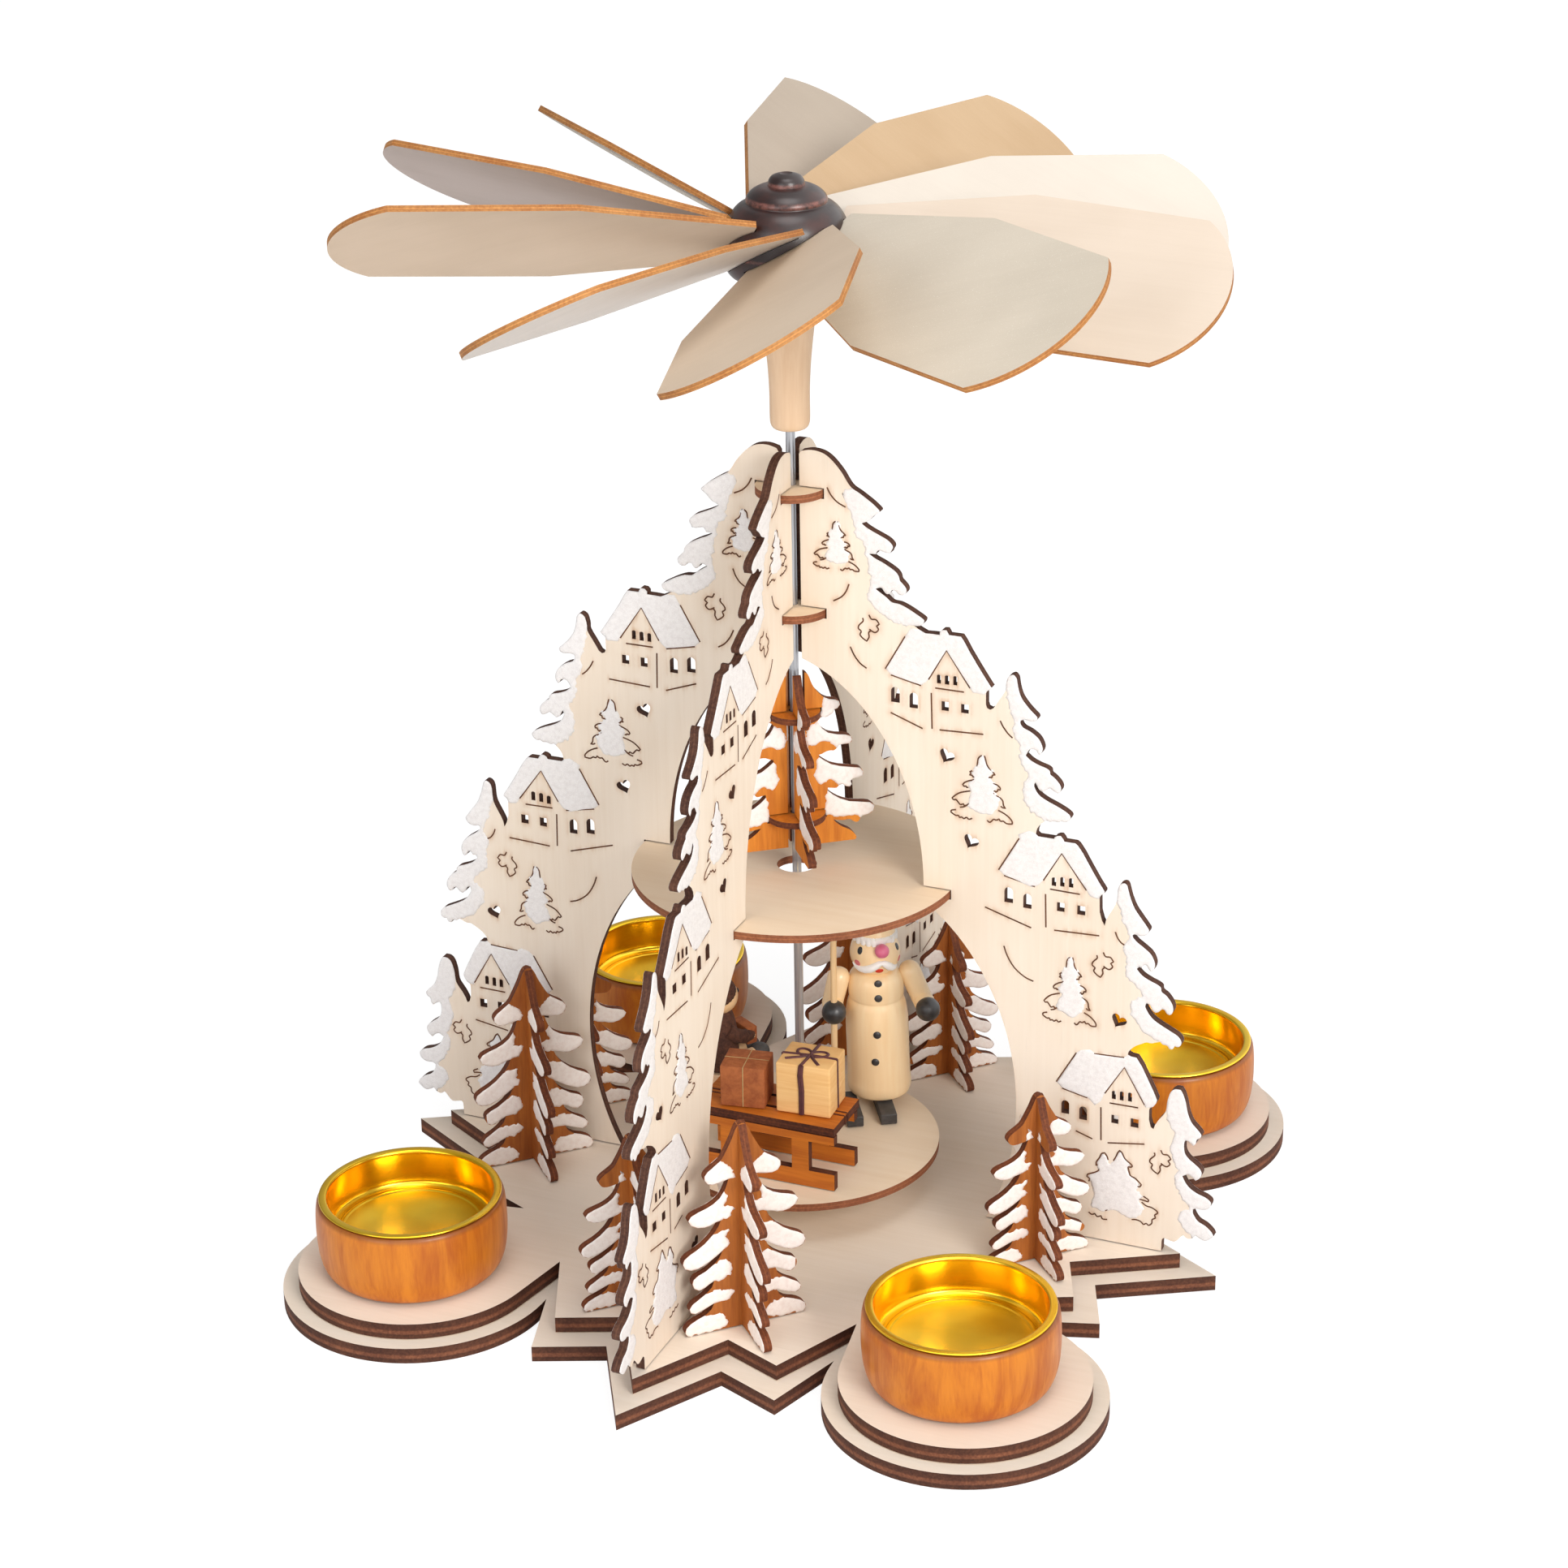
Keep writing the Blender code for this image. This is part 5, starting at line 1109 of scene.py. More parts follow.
wingSheet = sheetMesh("wingSheet", [outline, *holes], wing["thickness"], wing["grid"], wingBurn)
wingSheet.transform(upright)
strokeMesh = drawnLines("engraving", [[(x, 0.0, z) for x, z in stroke] for stroke in strokes],
                        wing["lineWidth"], wing["lineProud"] / wing["lineWidth"] * 2.0, "scorchLine")
snowMesh = paintMesh("snow", wingSnow(), wing["paint"], wing["paintGrid"], wing["thickness"] / 2)
bothFaces = []
for face in (-1.0, 1.0):
    bothFaces.append(strokeMesh.copy())
    bothFaces[-1].transform(Matrix.Translation((0.0, face * wing["thickness"] / 2 * mm, 0.0)))
lineMesh = joined("engraving", bothFaces)
for side, turn in (("Right", 0.0), ("Back", 90.0), ("Left", 180.0), ("Front", -90.0)):
    around = rotation(turn)
    addPiece("village" + side, wingSheet, ("wingFace", "wingEdge"), "frame", ("wing_" + side.lower(),),
             around)
    addPiece("villageSnow" + side, snowMesh, ("snow",), "frame", matrix=around)
    addPiece("villageEngraving" + side, lineMesh, ("scorchLine",), "frame", matrix=around)
print("village silhouettes", len(wingSheet.polygons), len(snowMesh.polygons), len(strokeMesh.polygons))


# ---- cups and their brass inserts

cupValues = {
    "places": ((70.2, -71.5), (-72.0, -72.3), (-71.1, 71.1), (73.1, 71.5)),
    "foot": 19.6, "belly": 23.1, "height": 18.8, "bore": 20.8, "floor": 9.3,
    "rim": 22.1, "wall": 20.5, "sheet": 0.5, "bend": 1.3, "gap": 0.3,  # of the insert
}


def cupProfile():
    v = cupValues
    top = baseSeat + v["height"]
    outside = [(v["foot"], baseSeat + 0.05), (21.0, baseSeat + 0.9), (22.0, baseSeat + 2.6),
               (22.7, baseSeat + 5.4), (23.05, baseSeat + 9.0), (v["belly"], baseSeat + 12.0),
               (23.0, baseSeat + 15.4), (22.75, top - 1.2),
               (22.45, top - 0.35), (22.0, top), (21.4, top)]
    return [(0.0, baseSeat), (v["foot"] - 0.5, baseSeat), *smoothLine(outside, 5, 120.0), (v["bore"], top - 0.2),
            (v["bore"], baseSeat + v["floor"]), (0.0, baseSeat + v["floor"])]


def insertProfile():
    v = cupValues
    low = baseSeat + v["height"] + v["gap"]
    floor = baseSeat + v["floor"] + v["gap"]
    inner, inside = v["wall"] - v["sheet"], floor + v["sheet"]
    rim = [(v["rim"] - 0.3, low), (v["rim"] - 0.02, low + 0.12), (v["rim"], low + 0.3),
           (v["rim"] - 0.25, low + 0.5), (inner + 0.7, low + 0.5), (inner + 0.25, low + 0.32),
           (inner + 0.05, low - 0.1), (inner, low - 0.8)]
    bend = [(inner - v["bend"] + v["bend"] * math.cos(turn), inside + v["bend"] - v["bend"] * math.sin(turn))
            for turn in map(math.radians, range(0, 91, 15))]
    bead = [(inner - 2.0, inside + 0.02), (inner - 2.4, inside + 0.28), (inner - 3.0, inside + 0.34),
            (inner - 3.6, inside + 0.06)]
    return [(0.0, floor), (v["wall"] - 1.2, floor), (v["wall"] - 0.3, floor + 0.35), (v["wall"], floor + 1.2),
            (v["wall"], low), *smoothLine(rim, 3, 120.0), *bend, *smoothLine(bead, 3, 120.0), (0.0, inside)]


cupMesh = merged("cup", [(spun(cupProfile(), 128), 0)], 50.0)
insertMesh = merged("insert", [(spun(insertProfile(), 128), 0)], 50.0)
for number, (x, y) in enumerate(cupValues["places"], 1):
    turn = Matrix.Rotation(number * 1.3, 4, "Z")  # so that no two cups show the same facets
    place = spot(x, y)
    addPiece(f"turnedCup{number}", cupMesh, ("cup",), "frame", (f"cup_{number}",), place @ turn)
    addPiece(f"brassInsert{number}", insertMesh, ("brass",), "frame", (f"insert_{number}",), place)
bearingLine = ((0.0, 0.0), (3.8, 0.0), (4.0, 0.3), (4.0, 2.6), (3.7, 3.0), (2.2, 3.0), (2.0, 2.8), (0.0, 1.2))
bearing = spun([(radius, baseSeat + rise) for radius, rise in bearingLine], 48)
addPiece("bearingCup", merged("bearingCup", [(bearing, 0)]), ("brass",), "frame", ("pivot_bearing",))
print("cups and inserts")


# ---- crossed firs: the same branch drawing, tall and short, with brushed snow

firValues = {
    "thickness": 2.0, "turn": 45.0, "distance": 68.2, "side": 14.2, "reach": 15.0, "rise": 54.0,
    "tall": (15.4, 54.0), "short": (13.6, 44.7), "paint": 0.22, "paintGrid": 0.55, "brush": 0.44,
}
# one side of the tall fir, branch by branch from the top, and where the brushed snow ends towards the trunk
firBranches = [
    [(0.0, 62.6), (0.9, 62.2), (1.7, 60.9), (2.3, 59.3), (3.3, 57.2), (4.4, 55.1), (5.3, 53.7), (7.1, 52.4),
     (8.4, 51.5), (9.2, 50.5), (9.2, 49.4), (8.5, 48.3), (7.2, 47.9), (5.6, 48.1), (4.1, 48.4), (3.5, 48.6)],
    [(3.9, 47.2), (4.6, 45.5), (5.7, 43.9), (7.3, 42.7), (9.1, 41.9), (11.1, 41.3), (12.7, 40.6),
     (13.4, 39.6), (12.8, 38.3), (11.2, 37.3), (9.5, 37.0), (8.1, 37.2), (7.0, 37.7), (5.6, 38.0)],
    [(6.2, 36.5), (7.6, 34.5), (9.6, 32.6), (11.6, 31.3), (13.2, 30.5), (14.6, 29.5), (15.0, 28.3),
     (14.5, 27.0), (13.1, 26.3), (11.5, 26.3), (9.9, 26.9), (8.4, 27.7), (7.0, 28.6), (5.3, 29.8)],
    [(6.2, 28.0), (7.6, 26.5), (9.5, 25.2), (11.4, 24.4), (12.5, 23.6), (12.8, 22.5), (12.4, 21.2),
     (11.2, 20.4), (9.9, 20.8), (8.7, 21.6), (7.5, 22.2)],
    [(8.1, 20.6), (9.6, 19.1), (11.3, 18.0), (12.9, 17.0), (13.7, 15.9), (13.4, 14.8), (12.3, 14.3),
     (10.7, 14.8), (9.3, 15.4), (7.7, 16.1)],
    [(8.4, 14.6), (10.0, 13.3), (11.9, 12.6), (13.5, 11.8), (14.6, 10.8), (14.9, 9.6), (14.3, 8.6)],
]
firSnow = [
    (6, [(2.1, 48.9), (2.3, 50.6), (3.4, 52.4)]), (1, [(3.0, 38.9), (2.5, 40.9), (4.5, 41.8), (3.9, 44.0)]),
    (1, [(3.4, 31.6), (4.6, 32.9), (3.6, 35.2)]), (1, [(5.8, 21.9), (3.6, 23.2), (3.1, 25.5), (4.9, 27.6)]),
    (1, [(5.0, 16.2), (2.9, 17.6), (4.4, 19.4)]), (1, [(6.4, 8.9), (4.6, 10.4), (6.2, 13.0)]),
]
treeBranches = [
    [(2.0, 146.7), (2.6, 146.6), (3.2, 146.0), (3.6, 145.0), (4.1, 143.6), (4.9, 142.1), (6.0, 140.8),
     (7.0, 139.8), (8.3, 139.1), (9.9, 138.8), (10.8, 138.3), (11.0, 137.4), (10.4, 136.5), (9.5, 136.3),
     (9.3, 135.5), (8.4, 134.9), (7.5, 134.5), (6.6, 134.7), (5.9, 134.3)],
    [(5.4, 133.7), (5.9, 132.7), (6.6, 131.6), (8.0, 130.4), (10.2, 129.7), (12.3, 129.4), (13.7, 128.8),
     (14.0, 127.9), (13.4, 127.0), (11.9, 127.0), (10.8, 126.9), (10.1, 126.1), (9.4, 125.6), (8.7, 125.7),
     (7.6, 125.6), (6.5, 125.1), (5.7, 124.9)],
    [(5.7, 124.3), (6.9, 123.3), (8.6, 122.1), (10.8, 121.3), (13.7, 120.7), (15.8, 120.3), (16.7, 119.2),
     (16.5, 118.1), (15.5, 117.8), (14.2, 117.7), (13.5, 117.1), (13.8, 116.2), (13.3, 115.6),
     (12.4, 115.8), (11.5, 116.5), (10.6, 116.3), (10.0, 115.7), (8.9, 115.8), (7.8, 116.0)],
    [(7.7, 115.3), (8.9, 114.1), (10.7, 112.8), (13.2, 111.7), (16.1, 111.2), (18.3, 110.8), (19.5, 109.8),
     (19.2, 108.5), (17.9, 107.7), (16.5, 107.5), (15.9, 107.0), (15.5, 106.2), (14.8, 106.0),
     (13.9, 106.5), (13.2, 107.0), (11.7, 106.9), (10.3, 107.1), (9.1, 107.3)],
    [(9.9, 106.4), (11.4, 105.2), (13.2, 104.2), (14.2, 103.2), (14.9, 102.1), (14.6, 101.4)],
]
treeSnowEnds = [
    (7, 18, [(6.3, 135.6), (6.5, 137.2), (6.8, 138.9)]),
    (0, 11,
     [(8.8, 127.5), (7.8, 128.3), (6.3, 128.3), (4.9, 127.6), (3.1, 127.6), (2.6, 129.0), (2.7, 131.3),
      (4.2, 133.1)]),
    (0, 15,
     [(9.0, 118.0), (7.7, 118.1), (6.6, 117.4), (5.5, 117.3), (4.4, 119.1), (4.8, 121.5), (5.2, 123.4)]),
    (0, 10,
     [(14.9, 107.7), (12.8, 107.9), (9.9, 107.9), (7.9, 108.6), (6.9, 110.1), (7.1, 112.1), (7.3, 114.1)]),
]


def firScale(line, reach, rise):
    return [(x * reach / firValues["reach"], baseSeat + (z - baseSeat) * rise / firValues["rise"])
            for x, z in line]


def firPatch(branch, ends, amount, seed, bare=None):
    # the painted end of a branch; bare leaves its tip unpainted
    first, last, inside = ends
    rim = [point for point in branch[first:last + 1] if bare is None or point[0] < bare]
    return [*rim, *ragged([rim[-1], *inside, rim[0]], 0.4, amount, seed)[1:-1]]


def crossedFir(name, reach, rise):
    branches = [firScale(branch, reach, rise) for branch in firBranches]
    line = [point for branch in branches for point in smoothLine(branch, 2)]
    loop = [*line, *[(-x, z) for x, z in reversed(line[1:])]]
    thick = firValues["thickness"]
    panel = sheetMesh(name, [loop], thick)
    panel.transform(upright)
    patches = []
    for number, (branch, (first, inside)) in enumerate(zip(branches, firSnow)):
        inside = firScale(inside, reach, rise)
        for side in (1.0, -1.0):
            seed = number * 1.9 + rise + side
            bareTip = (number * 3 + int(rise) + int(side)) % 7 == 1  # a few stay unpainted
            bare = branch[5][0] if bareTip else None
            patch = firPatch(branch, (first, len(branch) - 1, inside), firValues["brush"], seed, bare)
            patches.append(patch if side > 0 else [(-x, z) for x, z in reversed(patch)])
    paint = paintMesh(name, patches, firValues["paint"], firValues["paintGrid"], thick / 2, rise)
    quarter = rotation(90.0) @ Matrix.Diagonal((1.0, 1.0, 0.998, 1.0))  # a hair lower, so no faces coincide
    crossed = []
    for mesh in (panel, paint):
        other = mesh.copy()
        other.transform(quarter)
        crossed.append(joined(name, (mesh, other)))
        crossed[-1].shade_smooth()
    crossed[0].set_sharp_from_angle(angle=math.radians(sheetCrease))
    return crossed


firMeshes = [crossedFir("shortFir", *firValues["short"]), crossedFir("tallFir", *firValues["tall"])]
for number in range(1, 9):  # the odd ones are tall
    boards, snow = firMeshes[number % 2]
    wingTurn = 90.0 * ((number - 1) // 2)
    beside = Vector((firValues["distance"], firValues["side"] * (1.0 if number % 2 else -1.0)))
    x, y = Matrix.Rotation(math.radians(wingTurn), 2) @ beside
    place = spot(x, y, 0.0, wingTurn + firValues["turn"])
    addPiece(f"fir{number}", boards, ("firFace", "firEdge"), "frame", (f"fir_{number}",), place)
    addPiece(f"firSnow{number}", snow, ("firSnow",), "frame", matrix=place)
print("firs")


# ---- rotor: shaft, hub, sleeve and fan

rotorValues = {
    "shaftRadius": 1.1, "shaftFoot": 10.1, "shaftTop": 253.7, "bore": 1.4, "boreTop": 254.0,
    "sleeveFoot": 207.8, "sleeveRise": 35.5, "hubFoot": 243.6, "hubRise": 24.4,
    "slotReach": (9.5, 17.0), "slotSpare": 1.2, "slotPlay": 0.4,  # the cuts in the hub for the blades
}
fan = {
    "count": 10, "thickness": 1.5, "centre": 251.5, "root": (9.8, 10.8), "kink": (51.8, 22.1),
    "corner": (93.4, 21.6), "tip": 104.4, "offset": 2.6, "pitch": 32.4, "cone": 1.0, "first": -1.7,
    # how far each blade is off its even place, in degrees
    "swings": (0.6, -0.7, 0.2, -5.0, -2.0, -3.5, 0.8, 6.4, 0.7, 3.5),
    "twists": (-1.1, 1.8, 4.4, 0.5, 1.7, 0.4, 1.5, -3.4, -3.6, -2.4),
    "droops": (-3.2, -3.1, -1.1, 0.9, -0.2, 2.2, 2.7, 1.0, 0.2, 0.1),
}


def bladeOutline():
    sagitta = fan["tip"] - fan["corner"][0]
    radius = (fan["corner"][1] ** 2 + sagitta ** 2) / (2.0 * sagitta)
    spread = math.asin(fan["corner"][1] / radius)
    upperEdge = [fan["root"], fan["kink"], fan["corner"]]
    steps = 36
    turns = [spread - 2.0 * spread * step / steps for step in range(1, steps)]
    tip = [(fan["tip"] - radius + radius * math.cos(turn), radius * math.sin(turn)) for turn in turns]
    line = [*upperEdge, *tip, *[(x, -y) for x, y in reversed(upperEdge)]]
    return [(x, y + fan["offset"]) for x, y in line]


def bladeMatrix(number):
    swing = fan["first"] + 360.0 / fan["count"] * number + fan["swings"][number]
    return (spot(0.0, 0.0, fan["centre"], swing) @ rotation(-fan["cone"] - fan["droops"][number], "Y")
            @ rotation(fan["pitch"] + fan["twists"][number], "X"))


def veneer(name, light, dark, number, shimmerHighlight):
    # rotary-cut veneer; its grain runs along its own blade, with fine near-white flecks of painted highlight where
    # it shimmers
    wood = Finish(name, {"Specular IOR Level": 0.35})
    turn = tuple(bladeMatrix(number).inverted().to_euler())
    streak = wood.grain((9.0, 300.0, 60.0), 4.0, 0.6, 0.5, turn)
    fibre = wood.grain((60.0, 2200.0, 400.0), 2.0, 0.6, 0.0, turn)
    cloud = wood.grain(30.0, 2.0)
    share = wood.between(streak * 0.22 + fibre * 0.12 + cloud * 0.66, 0.30, 0.72)
    colour = wood.mixed(share, tone(*light), tone(*dark))
    # painted highlight: near-white flecks mixed into the colour, and made smoother, as much as the blade shimmers
    fleck = wood.grain(5200.0, 1.0, 0.5)
    colour = wood.mixed(wood.between(fleck, 0.66, 0.80) * shimmerHighlight, colour, tone(250, 248, 240))
    return wood.surface(colour, 0.62 - wood.between(fleck, 0.6, 0.8) * 0.3 * shimmerHighlight, fibre, 0.00006, 0.35)


bladeTonesAndShade = (  # light and dark tone of each blade's face, and how much it shimmers: the tones differ from blade to blade in the veneer and also hold painted shade, greyer on the blades at the left, and the shimmer is a painted highlight
    ((226, 210, 193), (218, 201, 183), 0.1), ((225, 216, 204), (218, 208, 196), 0.1),
    ((208, 179, 144), (198, 167, 131), 0.1), ((197, 182, 165), (188, 172, 155), 0.2),
    ((208, 199, 187), (198, 188, 176), 0.2), ((198, 184, 178), (188, 174, 167), 0.2),
    ((221, 200, 178), (211, 190, 167), 0.1), ((228, 222, 217), (217, 211, 205), 0.2),
    ((226, 205, 181), (216, 195, 171), 0.3), ((217, 206, 189), (207, 196, 179), 0.8),
)
bladeMesh = sheetMesh("blade", [bladeOutline()], fan["thickness"])
for number, (light, dark, shimmerHighlight) in enumerate(bladeTonesAndShade):
    finishes[f"veneer{number + 1}"] = veneer(f"bladeVeneer{number + 1}", light, dark, number, shimmerHighlight)
    addPiece(f"fanBlade{number + 1}", bladeMesh, (f"veneer{number + 1}", "bladeEdge"), "rotor",
             (f"blade_{number + 1}",), bladeMatrix(number))


def hubMesh():
    v = rotorValues
    foot, rise = v["hubFoot"], v["hubRise"]
    shares = ((6.1, 0.0), (9.5, 0.0), (11.6, 0.02), (13.2, 0.055), (14.2, 0.12), (14.5, 0.22), (14.45, 0.36),
              (14.1, 0.48), (13.4, 0.575), (12.2, 0.655), (10.9, 0.705), (9.7, 0.726), (9.4, 0.734), (9.35, 0.765),
              (8.9, 0.80), (7.9, 0.84), (6.4, 0.872), (4.9, 0.884), (4.3, 0.888), (4.2, 0.915), (3.95, 0.945),
              (3.3, 0.975), (2.3, 0.992))
    outside = smoothLine([(radius, foot + rise * share) for radius, share in shares], 4, 60.0)
    profile = [(0.0, v["boreTop"]), (v["bore"], v["boreTop"]), (v["bore"], foot), *outside, (1.5, foot + rise),
               (0.9, foot + rise - 0.25), (0.0, foot + rise - 0.35)]
    hub = linked("hubBlank", merged("hubBlank", [(spun(profile, 96), 0)]))
    half, (near, far) = fan["root"][1] + v["slotSpare"], v["slotReach"]
    low, high = fan["offset"] - half, fan["offset"] + half
    for number in range(fan["count"]):
        cutterMesh = sheetMesh("hubSlot", [[(near, low), (far, low), (far, high), (near, high)]],
                               fan["thickness"] + v["slotPlay"])
        cutterMesh.transform(bladeMatrix(number))
        cutter = linked("hubSlot", cutterMesh)
        slot = hub.modifiers.new("slot", "BOOLEAN")
        slot.operation, slot.solver, slot.object = "DIFFERENCE", "EXACT", cutter
        baked = bakedMesh(hub)
        hub.modifiers.remove(slot)
        hub.data = baked
        bpy.data.objects.remove(cutter, do_unlink=True)
    mesh = hub.data
    bpy.data.objects.remove(hub, do_unlink=True)
    mesh.materials.clear()
    mesh.shade_smooth()
    mesh.set_sharp_from_angle(angle=math.radians(35.0))
    return mesh


addPiece("fanHub", hubMesh(), ("hub",), "rotor", ("hub",))
bore, foot, rise = (rotorValues[key] for key in ("bore", "sleeveFoot", "sleeveRise"))
sleeveShares = ((3.0, 0.0), (3.9, 0.006), (4.5, 0.03), (4.7, 0.08), (4.72, 0.25), (5.0, 0.42), (5.5, 0.57),
                (6.0, 0.70), (6.25, 0.82), (6.3, 0.97), (6.2, 1.0))
sleeveSide = smoothLine([(radius, foot + rise * share) for radius, share in sleeveShares], 4, 80.0)
sleeve = merged("sleeve", [(spun([(bore, foot), *sleeveSide, (bore, foot + rise)], 64, True), 0)])
addPiece("shaftSleeve", sleeve, ("sleeve",), "rotor", ("sleeve",))
radius, foot, top = (rotorValues[key] for key in ("shaftRadius", "shaftFoot", "shaftTop"))
shaft = [(0.0, foot), (radius, foot + 2.2), (radius, top), (0.0, top)]
addPiece("steelShaft", merged("shaft", [(spun(shaft, 32), 0)]), ("steel",), "rotor", ("shaft",))
print("shaft, hub and fan")


# ---- centre tree

centreTree = {
    "turn": 38.0, "thickness": 2.0, "foot": 101.4, "rise": 45.3, "inner": 2.3, "hole": 1.4, "brush": 0.3,
    "discs": ((7.2, 110.3), (6.2, 136.9)), "discThickness": 1.6, "play": 0.3,  # radius and top of each disc
}


def treePanel():
    # one quarter's outline, notched for the two discs
    v = centreTree
    line = [point for branch in treeBranches for point in smoothLine(branch, 2)]
    inner = [(v["inner"], v["foot"])]
    for radius, top in v["discs"]:
        low, high, reach = top - v["discThickness"] - v["play"], top + v["play"], radius + v["play"]
        inner += [(v["inner"], low), (reach, low), (reach, high), (v["inner"], high)]
    return [*inner, (v["inner"], v["foot"] + v["rise"]), *line[2:]]


patches = [firPatch(branch, ends, centreTree["brush"], number * 2.1 + 3.0)
           for number, (branch, ends) in enumerate(zip(treeBranches, treeSnowEnds))]
panelMesh = sheetMesh("treePanel", [treePanel()], centreTree["thickness"])
panelMesh.transform(upright)
panelSnow = paintMesh("treeSnow", patches, firValues["paint"], firValues["paintGrid"],
                      centreTree["thickness"] / 2, 5.0)
for number in range(4):
    around = rotation(centreTree["turn"] + 90.0 * number)
    addPiece(f"treePanel{number + 1}", panelMesh, ("treeFace", "firEdge"), "rotor", (f"tree_panel_{number + 1}",),
             around)
    addPiece(f"treeSnow{number + 1}", panelSnow, ("firSnow",), "rotor", matrix=around)
for name, (radius, top) in zip(("Lower", "Upper"), centreTree["discs"]):
    thick = centreTree["discThickness"]
    mesh = sheetMesh("treeDisc" + name, [circle(radius, 64), circle(centreTree["hole"], 32)], thick)
    addPiece("treeDisc" + name, mesh, ("treeFace", "firEdge"), "rotor", ("tree_disc_" + name.lower(),),
             spot(0, 0, top - thick / 2))
print("centre tree")


# ---- the gift-bringer, a turned figure facing +X before it is stood in place

man = {
    "place": (10.5, 24.5, 21.2, -59.0), "hem": 3.0, "rise": 34.4, "lean": -0.027, "shift": 1.0,
    "head": 6.4, "headCentre": 42.2, "headTurn": 5.0, "handRadius": 3.1, "armRadius": 2.6,
    "buttonRise": (36.0, 32.2, 22.3, 14.6), "buttonYaw": (-3.0, -4.0, -9.0, -14.0),
    # shoulder, elbow and hand of each arm
    "armLeft": ((0.3, 8.7, 36.2), (0.0, 11.8, 28.4), (5.2, 12.6, 27.2)),
    "armRight": ((0.0, -9.3, 35.8), (0.0, -11.0, 28.6), (5.2, -11.4, 28.4)),
}
manPlace = spot(*man["place"])


def onHead(yaw, pitch, out=0.0):
    y, p = math.radians(yaw + man["headTurn"]), math.radians(pitch)
    reach = man["head"] + out
    return Vector((reach * math.cos(p) * math.cos(y), reach * math.cos(p) * math.sin(y),
                   man["headCentre"] + reach * math.sin(p)))


def dab(yaw, pitch, wide, tall, thick=0.25):
    # a flat spot of paint lying on the head
    bm = ball((0, 0, 0), (thick, wide, tall), 24)
    bm.transform(Matrix.Translation(onHead(yaw, pitch, -thick * 0.35)) @ rotation(yaw + man["headTurn"])
                 @ rotation(-pitch, "Y"))
    return bm


def manBody():
    hem, rise = man["hem"], man["rise"]
    heights = ((6.3, 0.0), (7.5, 0.3), (8.05, 1.4), (8.2, 3.2), (8.05, 5.2), (8.0, 12.0), (8.0, 19.0),
               (7.85, 22.5), (7.4, 25.2), (6.95, 26.5), (6.85, 27.0), (7.0, 27.6), (7.1, 29.5), (7.0, 31.4),
               (6.5, 33.0), (5.5, 34.1), (4.4, rise))
    outside = smoothLine([(radius, hem + height) for radius, height in heights], 4, 150.0)
    parts = [(spun([(0.0, hem), *outside, (0.0, hem + rise)], 72), 0)]
    for height, yaw in zip(man["buttonRise"], man["buttonYaw"]):
        radius = numpy.interp(height - hem, [h for _, h in heights], [r for r, _ in heights])
        yaw = math.radians(yaw)
        bm = ball((0, 0, 0), (0.45, 1.0, 1.02), 24)
        bm.transform(Matrix.Translation((radius * math.cos(yaw), radius * math.sin(yaw), height))
                     @ Matrix.Rotation(yaw, 4, "Z"))
        parts.append((bm, 1))
    tilt = Matrix.Identity(4)  # leans the body sideways by a share of its height
    tilt[1][2], tilt[1][3] = man["lean"], man["shift"]
    for bm, _ in parts:
        bm.transform(tilt)
    return merged("manBody", parts)


def manHead():
    centre, r = man["headCentre"], man["head"]
    skin = [(0.0, centre - r)] + [(r * math.sin(math.radians(turn)), centre - r * math.cos(math.radians(turn)))
                                  for turn in range(8, 137, 8)]
    cap = [(5.4, centre + 4.6), (5.1, centre + 6.2), (4.0, centre + 8.2), (2.4, centre + 9.5),
           (0.0, centre + 10.0)]
    parts = [(spun([*skin, *cap], 64), 0), (ball(onHead(1, 24, 0.9), (1.85, 1.85, 1.8)), 1)]
    for side in (-1.0, 1.0):
        parts += [(dab(54 * side, 21, 0.76, 1.02), 2), (dab(60 * side, -11, 1.0, 0.85, 0.18), 3)]
    # the two sweeps of the moustache: yaw and pitch on the head, then how thick it is there
    sweeps = (((4, -4), (-4, -5), (-13, -11), (-24, -18), (-38, -23), (-52, -25), (-66, -22), (-78, -16)),
              ((-2, -4), (5, -5), (13, -11), (22, -18), (32, -24), (42, -26), (52, -25)))
    thicknesses = ((0.5, 0.8, 1.0, 1.1, 1.05, 0.85, 0.6, 0.2), (0.5, 0.8, 1.0, 1.05, 0.9, 0.6, 0.2))
    for sweep, radii in zip(sweeps, thicknesses):
        parts.append((tube([onHead(yaw, pitch, 0.06) for yaw, pitch in sweep], radii, 16), 4))
    parts.append((dab(-3, -28, 1.05, 0.8, 0.4), 5))
    rng = random.Random(4)
    for tuft in range(26):  # the ragged white fringe under the cap
        yaw = -95 + 190 * tuft / 25 + rng.uniform(-2, 2)
        low = rng.uniform(33, 42)
        end = onHead(yaw + rng.uniform(-4, 4), low, 0.1)
        parts.append((tube([end, onHead(yaw, 45, 0.35), onHead(yaw, 62, 0.5)], (0.45, 1.15, 1.2), 10), 4))
    return merged("manHead", parts)


def manArm(side):
    shoulder, elbow, hand = (Vector(point) for point in man["arm" + side])
    r = man["armRadius"]
    down = (elbow - shoulder).normalized()
    upper = [*[shoulder - down * rise for rise in (2.4, 1.9, 0.9)], shoulder, shoulder.lerp(elbow, 0.5),
             elbow + (shoulder - elbow) * 0.06]
    lower = [elbow, elbow.lerp(hand, 0.3), elbow.lerp(hand, 0.36), elbow.lerp(hand, 0.42), hand]
    parts = [(tube(upper, (0.9, 1.9, 2.6, 2.85, 2.75, 2.65), 32), 0), (ball(elbow, (r * 1.04,) * 3), 0),
             (tube(lower, (2.6, 2.65, 2.4, 2.7, 2.5), 32), 0), (ball(hand, (man["handRadius"],) * 3), 1)]
    return merged("manArm", parts)


